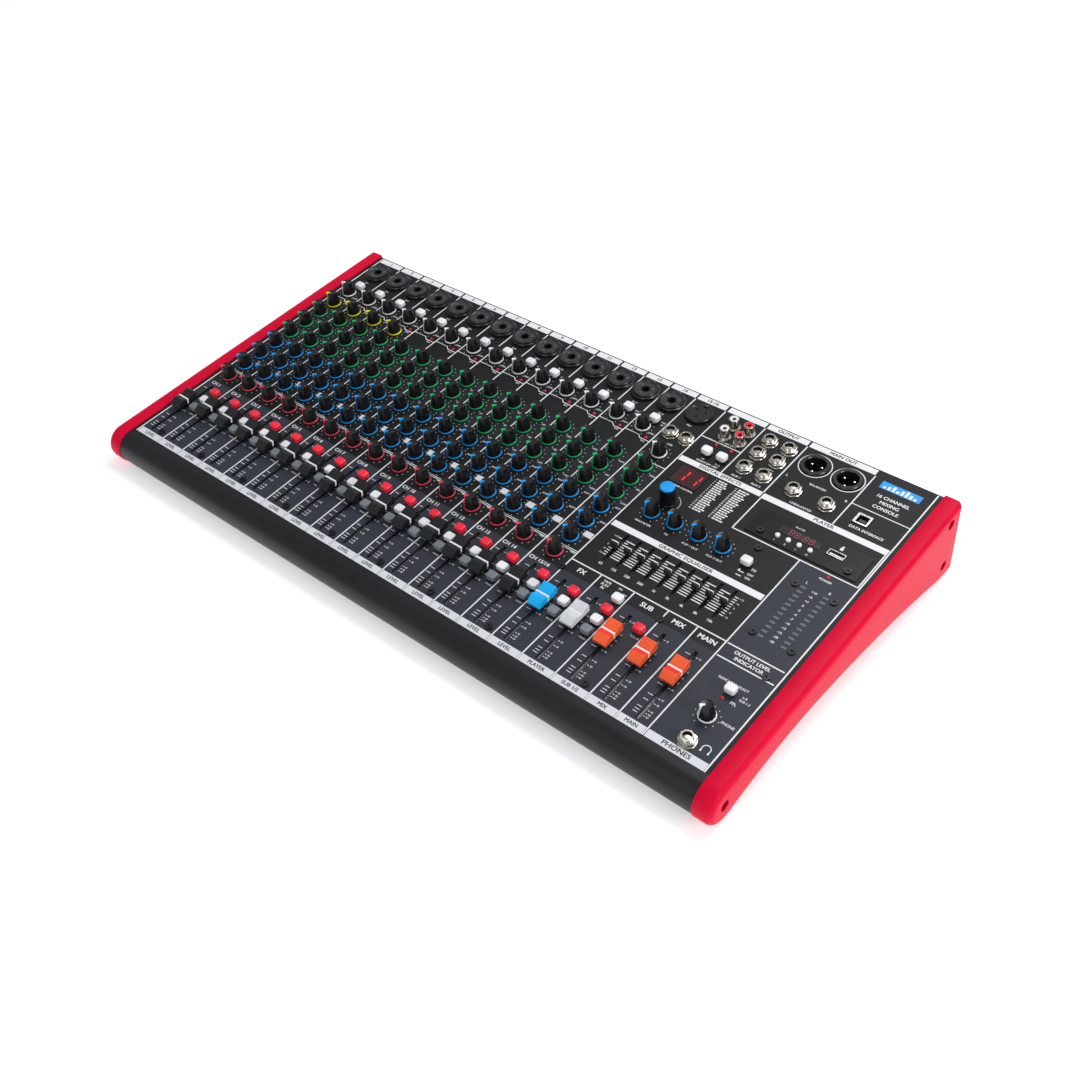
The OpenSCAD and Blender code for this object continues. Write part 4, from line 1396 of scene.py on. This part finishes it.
@dataclass
class Artwork:
    """Everything printed on the panel: bars, lines, scales, dots and words."""

    bar_ink: float = 0.07

    def rect(self, form: Form, x0: float, x1: float, y0: float, y1: float,
             thick: float = PRINT_HIGH) -> None:
        """A printed rectangle."""
        form.block((x0, y0, PRINT_LOW), (x1, y1, thick))

    def layer(self, form: Form, name: str) -> Object:
        """A printed layer as a piece."""
        return form.piece(name, "chassis", sharp=30)

    def bar(self, form: Form, paint: Paint, area: Sequence[float], text: str,
            *style: float) -> None:
        """A printed bar with a dark word on it.

        Args:
            form: the form it is added to.
            paint: the bar's finish.
            area: low x, high x, low y and high y.
            text: the word, or none.
            style: the word's height above the front, letter height, boldness and stretch.
        """
        form.use(paint)
        self.rect(form, *area)
        if text:
            form.use(Paint.TEXT)
            LETTERS.put(form, text, (area[0] + area[1]) / 2, *style, level=self.bar_ink)

    def bars(self) -> Object:
        """The label bars and their dark words."""
        form = Form(Paint.BAR, Paint.PRINT, Paint.TEXT)
        edges = [0.2] + ALL_STRIPS[1:]
        strips = [(a + 0.9, b - 0.9) for a, b in zip(edges, edges[1:])] + [(366.9, 394.2)]
        back = strips + [(396.3, 431.4), (433.0, 469.3), (471.2, 528.0)]
        for span, text in zip(back, BACK_LABELS):
            self.bar(form, Paint.PRINT, (*span, BACK_BAR, BACK_EDGE), text, 293.6, 3.2, 0.04, 1.08)
        front = strips + [(395.9, 422.1), (423.7, 451.4), (453.0, 480.7), (482.3, 505.4),
                          (507.0, 528.1), (529.9, 575.8)]
        for span, text in zip(front, FRONT_LABELS):
            size = (3.7, TITLE, 1.15) if text == "PHONES" else (3.1, TITLE, 1.0)
            self.bar(form, Paint.BAR, (*span, FRONT_EDGE, 6.4), text, 3.3, *size)
        for *area, text in SECTION_BARS:
            self.bar(form, Paint.PRINT, area, text, (area[2] + area[3]) / 2, 3.2, 0.04, 1.12)
        return self.layer(form, "printed_bars")

    def lines(self) -> Object:
        """Divider lines, boxes and rings."""
        form = Form(Paint.PRINT, Paint.BAR)
        for columns, low, high, half in UPRIGHTS:
            for x in columns:
                self.rect(form, x - half, x + half, low, high)
        for x0, x1, y, w in CROSSINGS:
            self.rect(form, x0, x1, y - w / 2, y + w / 2)
        for x, knob in zip(ALL_STRIPS, PLAN.knob_x):
            wide, step = (29.0, 211.2) if x == PLAN.stereo_left else (PLAN.pitch, 229.7)
            for y in (100.0, 101.5):
                self.rect(form, x + 0.5, x + wide - 0.5, y, y + 0.55)
            self._step(form, x, wide, step)
            form.use(Paint.BAR)
            self.rect(form, knob + 6.0, knob + 13.6, 117.2, 122.4)
            form.use(Paint.PRINT)
        circle = Form(Paint.PRINT)
        circle.lathe(OUTPUT_RING, steps=64)
        form.at(circle.mesh("ring"), XLR_OUT)
        return self.layer(form, "printed_lines")

    def _step(self, form: Form, x: float, wide: float, y: float) -> None:
        """The line under a gain knob that steps down around the peak lamp."""
        left, right, low = x + 0.5, x + wide - 0.5, y - 2.7
        mid = x + 13.5
        w = 0.35
        form.prism([(left, y - w), (mid, y - w), (mid + 3, low - w), (right, low - w),
                    (right, low + w), (mid + 3.2, low + w), (mid + 0.2, y + w), (left, y + w)],
                   PRINT_LOW, PRINT_HIGH)

    @staticmethod
    def _spots(name: str, size: float, points: Sequence[Point]) -> Mesh:
        """Small printed discs as one mesh."""
        form = Form(Paint.PRINT)
        for point in points:
            form.cone(point, size, size, PRINT_LOW, PRINT_HIGH, 6)
        return form.mesh(name)

    def dots(self) -> Object:
        """Dots round each knob."""
        form = Form(Paint.PRINT)
        rows = PLAN.grid(PAN_ROWS + AUX_ROWS + TONE_ROWS)
        form.at(self._spots("dots", 0.38, ring(8.9, range(-60, 241, 30))),
                rows + GAINS + GATES + EFFECTS + [PHONES])
        form.at(self._spots("arc", 0.5, ring(9.6, range(-30, 67, 12))), [ENCODER])
        return self.layer(form, "printed_dots")

    def scales(self) -> Object:
        """Fader scales, equaliser grid and meter numbers."""
        form = Form(Paint.PRINT)
        for x in PLAN.fader_x:
            for y, text in zip(SCALE_Y, SCALE_TEXT):
                half = 0.32 if text == "0" else 0.22
                self.rect(form, x - 6.3, x - 2.4, y - half, y + half)
                self.rect(form, x + 2.3, x + 3.6, y - half, y + half)
                LETTERS.put(form, text, x + 5.4, y, 1.5, 0)
        rows = [111.4 + 2.4 * k for k in range(9)]
        for y in rows:
            for a, b in zip(EQ_X, EQ_X[1:]):
                self.rect(form, a + 2.0, b - 2.0, y - 0.42, y + 0.42)
            self.rect(form, EQ_X[0] - 5.0, EQ_X[0] - 1.9, y - 0.36, y + 0.36)
            self.rect(form, EQ_X[-1] + 1.9, EQ_X[-1] + 5.0, y - 0.36, y + 0.36)
        for y, text in zip(rows[::2], ("-12", "-6", "0", "+6", "+12")):
            LETTERS.put(form, text, EQ_X[0] - 7.2, y, 1.6, 0)
            LETTERS.put(form, text, EQ_X[-1] + 7.4, y, 1.6, 0)
        for x, text in zip(EQ_X, EQ_MARKS):
            LETTERS.put(form, text, x, 102.6, 2.3)
        for y, text in zip(METER_Y, METER_MARKS):
            LETTERS.put(form, text, 553.4, y, 2.0)
        for x, text in zip(METER_X, "LR"):
            LETTERS.put(form, text, x, 169.6, 2.3)
        return self.layer(form, "printed_scales")

    def words(self) -> Object:
        """Plain function words and numbers."""
        form = Form(Paint.PRINT)
        put = LETTERS.put
        for k, (x, knob) in enumerate(zip(ALL_STRIPS, PLAN.knob_x)):
            mono = k < PLAN.channels
            name = str(k + 1) if mono else "15/16"
            put(form, "CH " + name, x + (8.2 if mono else 11), 79.2, 3.3, 0.03, 1.05)
            for y, text in KNOB_WORDS:
                put(form, text, knob + 11.4, y - 5.8 if y > 150 else y + 6.2, 1.6)
            if mono:
                for text, dx, y, height in MONO_WORDS:
                    put(form, text, x + dx, y, height)
                put(form, "IN " + name, x + 13.4, 259.4, 1.6)
                put(form, "PEAK", x + 20.8, 224.9, 1.3)
        for x in PLAN.strips[:len(GATES)]:
            put(form, "GATE", x + 22.2, 215.0, 1.6)
        for x in PLAN.button_x:
            for text, y in BUTTON_WORDS:
                put(form, text, x, y, 1.7)
        for note in NOTES:
            put(form, *note)
        for y in (153.0, 149.2):
            self.rect(form, 499.4, 503.6, y - 0.7, y + 0.1)
        self.rect(form, 498.6, 499.9, 152.3, 154.6)
        return self.layer(form, "printed_words")

    def symbols(self) -> Object:
        """The program list, the headphone sign and a plain ornament."""
        form = Form(Paint.PRINT, Paint.BLUE, Paint.BAR)
        for column in range(2):
            for k in range(16):
                x, y = 433.6 + 17.6 * column, 220.6 - 2.35 * k
                length = 6.5 + 3.2 * abs(math.sin(2.1 * k + 1.3 * column + 0.4))
                LETTERS.put(form, str(k + 1 + 16 * column), x + 0.4, y, 1.4)
                for part in range(3):
                    a = x + 2.6 + length * part / 3
                    self.rect(form, a, a + length / 3 - 0.5, y - 0.62, y + 0.62)
        band = Form(Paint.PRINT)
        band.lathe(HEADBAND, steps=32)
        band.bm.verts.ensure_lookup_table()
        bmesh.ops.bisect_plane(band.bm, geom=band.bm.verts[:] + band.bm.edges[:]
                               + band.bm.faces[:], plane_co=(0, -1.6, 0), plane_no=(0, 1, 0),
                               clear_inner=True)
        form.at(band.mesh("headband"), [(568.0, 14.6)])
        for side in (-1, 1):
            x = 568 + side * 2.9
            form.block((x - 0.55, 11.4, PRINT_LOW), (x + 0.55, 13.4, PRINT_HIGH), 0.02, 1)
        form.use(Paint.BLUE)
        self.rect(form, 536.5, 569.0, 281.0, 288.8)
        form.use(Paint.PRINT)
        for k, tall in enumerate((2.2, 3.8, 5.6, 3.0, 4.8, 6.4, 4.2, 2.6)):
            x = 539.2 + 3.5 * k
            self.rect(form, x, x + 2.2, 281.7, 281.7 + tall, 0.1)
        return self.layer(form, "printed_symbols")


# ---------------------------------------------------------------- rear and CAD finishes

@dataclass
class Rear:
    """Fixings behind."""

    wall: float = 296.6

    def build(self) -> Object:
        """The inlet's and the tray's screws on the back wall, and the switch's mark."""
        form = Form(Paint.INLET, Paint.SCREW, Paint.PRINT)
        wall = self.wall
        form.use(Paint.SCREW)
        for columns, y, n in (((501.8, 538.2), wall + 1.5, -34.0),
                              ((20, 150, 290, 430, 560), wall, -8.5),
                              ((20, 290, 560), wall, -58)):
            for x in columns:
                self._wall_screw(form, x, y, n)
        form.use(Paint.PRINT).block((472.5, wall + 1.28, -25.6), (473.5, wall + 1.34, -24.2))
        return form.piece("rear_fixings", "chassis")

    def _wall_screw(self, form: Form, x: float, y: float, n: float) -> None:
        """A pan-head screw that stands out of the back wall."""
        head = Form(Paint.SCREW)
        head.lathe(SCREW_HEAD, steps=20, closed=False)
        head.block((-1.6, -0.25, 0.9), (1.6, 0.25, 1.36))
        head.block((-0.25, -1.6, 0.9), (0.25, 1.6, 1.36))
        mesh = head.mesh("wall screw")
        form.stamp(mesh, Matrix.Translation((x, y, n)) @ Matrix.Rotation(-math.pi / 2, 4, "X"),
                   own_finish=False)


CAD_FINISHES = {
    "top_panel": Paint.PANEL, "base_tray": Paint.TRAY, "cheek_screws": Paint.SCREW,
    "panel_screws": Paint.SCREW, "rubber_feet": Paint.FOOT, "circuit_boards": Paint.BOARD,
    "slide_pots": Paint.POT, "rotary_pots": Paint.POT, "push_switches": Paint.SWITCH,
    "combo_sockets": Paint.SOCKET, "xlr_sockets": Paint.SOCKET, "usb_sockets": Paint.BRIGHT,
    "player_module": Paint.PLAYER, "program_display": Paint.RED_WINDOW,
    "power_supply": Paint.WINDING, "mains_inlet": Paint.INLET, "power_switch": Paint.SWITCH_RED}


def dress_cad(nodes: dict[str, Object]) -> None:
    """Gives every CAD node its finish; the ones a piece replaces all take one.

    Args:
        nodes: CAD node name to object.
    """
    for name, obj in nodes.items():
        obj.data.materials.clear()
        obj.data.materials.append(CAD_FINISHES.get(name, Paint.BUTTON_WHITE).mat)


# ---------------------------------------------------------------- studio

@dataclass
class Studio:
    """Camera, floor and soft lights."""

    focal: float = 1292.29 / 1080.0
    sensor: float = 36.0
    view: tuple[tuple[float, float, float], ...] = (
        (0.7631, 0.6393, -0.0946), (0.4088, -0.5908, -0.6956), (-0.5006, 0.4922, -0.7122))
    station: tuple[float, float, float] = (839.7, -372.3, 676.6)
    aim: tuple[float, float, float] = (0, 0, 0.05)
    sky: tuple[float, float, float, float] = (0.93, 0.96, 1.0, 1)
    sky_strength: float = 0.42
    lights: tuple[tuple[Any, ...], ...] = (("key", (0.2, 0.9, 1.9), 1.1, 22),
                                           ("side", (2.0, -0.1, 0.9), 0.9, 15),
                                           ("front", (0.2, -1.9, 1.2), 1.2, 6))

    def camera(self) -> Object:
        """A long-lens camera above the front right corner."""
        spin = Matrix.Rotation(math.radians(PLAN.tilt), 3, "X")
        right, down, ahead = (spin @ Vector(r) for r in self.view)
        lens = bpy.data.cameras.new("camera")
        lens.sensor_width, lens.lens = self.sensor, self.sensor * self.focal
        lens.clip_end = 20
        obj = enter("camera", lens)
        turn = Matrix((right, -down, -ahead)).transposed().to_4x4()
        obj.matrix_world = (Matrix.Translation(PLAN.panel() @ Vector(self.station))
                            @ turn.normalized())
        bpy.context.scene.camera = obj
        return obj

    def floor(self) -> None:
        """A plain pale floor."""
        bm = bmesh.new()
        bmesh.ops.create_grid(bm, x_segments=2, y_segments=2, size=8)
        mesh = settle(bm, "floor")
        bench = NodeBench("floor paper")
        cloud = bench.noise(3, 2)
        paper = bench.mix(cloud, (0.86, 0.86, 0.86), (0.89, 0.89, 0.89))
        bench.set(Base_Color=paper, Roughness=0.8, Specular_IOR_Level=0.1,
                  Emission_Color=paper, Emission_Strength=0.5)
        mesh.materials.append(bench.material)
        enter("floor", mesh)

    def light(self, name: str, where: tuple[float, float, float], size: float,
              power: float) -> None:
        """An area light that faces the console."""
        lamp = bpy.data.lights.new(name, "AREA")
        lamp.shape, lamp.size, lamp.energy = "SQUARE", size, power
        obj = enter(name, lamp)
        obj.location = where
        ahead = Vector(self.aim) - Vector(where)
        obj.rotation_euler = ahead.to_track_quat("-Z", "Y").to_euler()

    def build(self) -> None:
        """Sets the whole studio up."""
        self.camera()
        self.floor()
        world = bpy.data.worlds.new("studio")
        world.use_nodes = True
        back = world.node_tree.nodes["Background"]
        back.inputs[0].default_value = self.sky
        back.inputs[1].default_value = self.sky_strength
        scene = bpy.context.scene
        scene.world = world
        scene.view_settings.view_transform = "Standard"
        scene.view_settings.look = "None"
        for row in self.lights:
            self.light(*row)


def build_knobs() -> None:
    """The channel knobs in sets, then the knobs that turn alone."""
    for stem, paint, points in (("gain", Paint.WHITE, GAINS), ("gate", Paint.YELLOW, GATES),
                                ("tone", Paint.GREEN, PLAN.grid(TONE_ROWS)),
                                ("aux", Paint.BLUE, PLAN.grid(AUX_ROWS)),
                                ("pan", Paint.RED, PLAN.grid(PAN_ROWS))):
        Knob(paint).group(f"{stem}_knob_set", "chassis", f"{stem}_knobs", points)
    for k, point in enumerate(EFFECTS, 1):
        name = f"effects_knob_{k}"
        Knob(Paint.BLUE).group(name + "_cap", name, name, [point])
    Knob(Paint.WHITE).group("phones_knob_cap", "phones_knob", "phones_knob", [PHONES])
    Encoder().build()


def build_faders() -> None:
    """The long faders' caps and the equaliser's."""
    # Orange caps pair the body's orange with the darker orange painted as shade in the hollow.
    black, orange = (Paint.FADER_BLACK,) * 2, (Paint.FADER_ORANGE, Paint.FADER_ORANGE_SHADED)
    paints = [black] * 15 + [(Paint.FADER_BLUE,) * 2, (Paint.FADER_WHITE,) * 2] + [orange] * 3
    for k, pair in enumerate(paints, 1):
        FaderCap(*pair).build(k)
    EqSliders().build()


def build_buttons() -> None:
    """The push-buttons, in one set for each colour."""
    columns = PLAN.button_x
    white = ([(x, 56.6) for x in columns] + [(x + 15.3, 249.4) for x in PLAN.strips]
             + [(447.8, 80.4), (411.4, 240.5), (425.2, 240.5), (500.6, 160.8), (555.3, 60.5)])
    for paint, body, name, points in (
            (Paint.BUTTON_RED, "mute_buttons", "red_button_caps",
             [(x, 68.0) for x in columns] + [(476.5, 67.0)]),
            (Paint.BUTTON_GREY, "route_buttons", "grey_button_caps",
             [(x, 45.5) for x in columns]),
            (Paint.BUTTON_WHITE, "white_buttons", "white_button_caps", white)):
        Buttons(paint, body).build(name, points)


def main() -> None:
    """Builds the console's pieces in order."""
    logging.basicConfig(level=logging.INFO, format="%(message)s")
    Studio().build()
    dress_cad(frame["nodes"])
    for side in (-1, 1):
        Cheek().build(side)
    FrontRoll().build()
    build_knobs()
    build_faders()
    build_buttons()
    sockets, displays, art = Sockets(), Displays(), Artwork()
    for make in (sockets.combos, sockets.xlr, sockets.jacks, sockets.nuts, sockets.phonos,
                 sockets.data, displays.program, displays.player, displays.lamps, displays.keys,
                 art.bars, art.lines, art.dots, art.scales, art.words, art.symbols,
                 Rear().build):
        make()


if __name__ == "__main__":
    main()
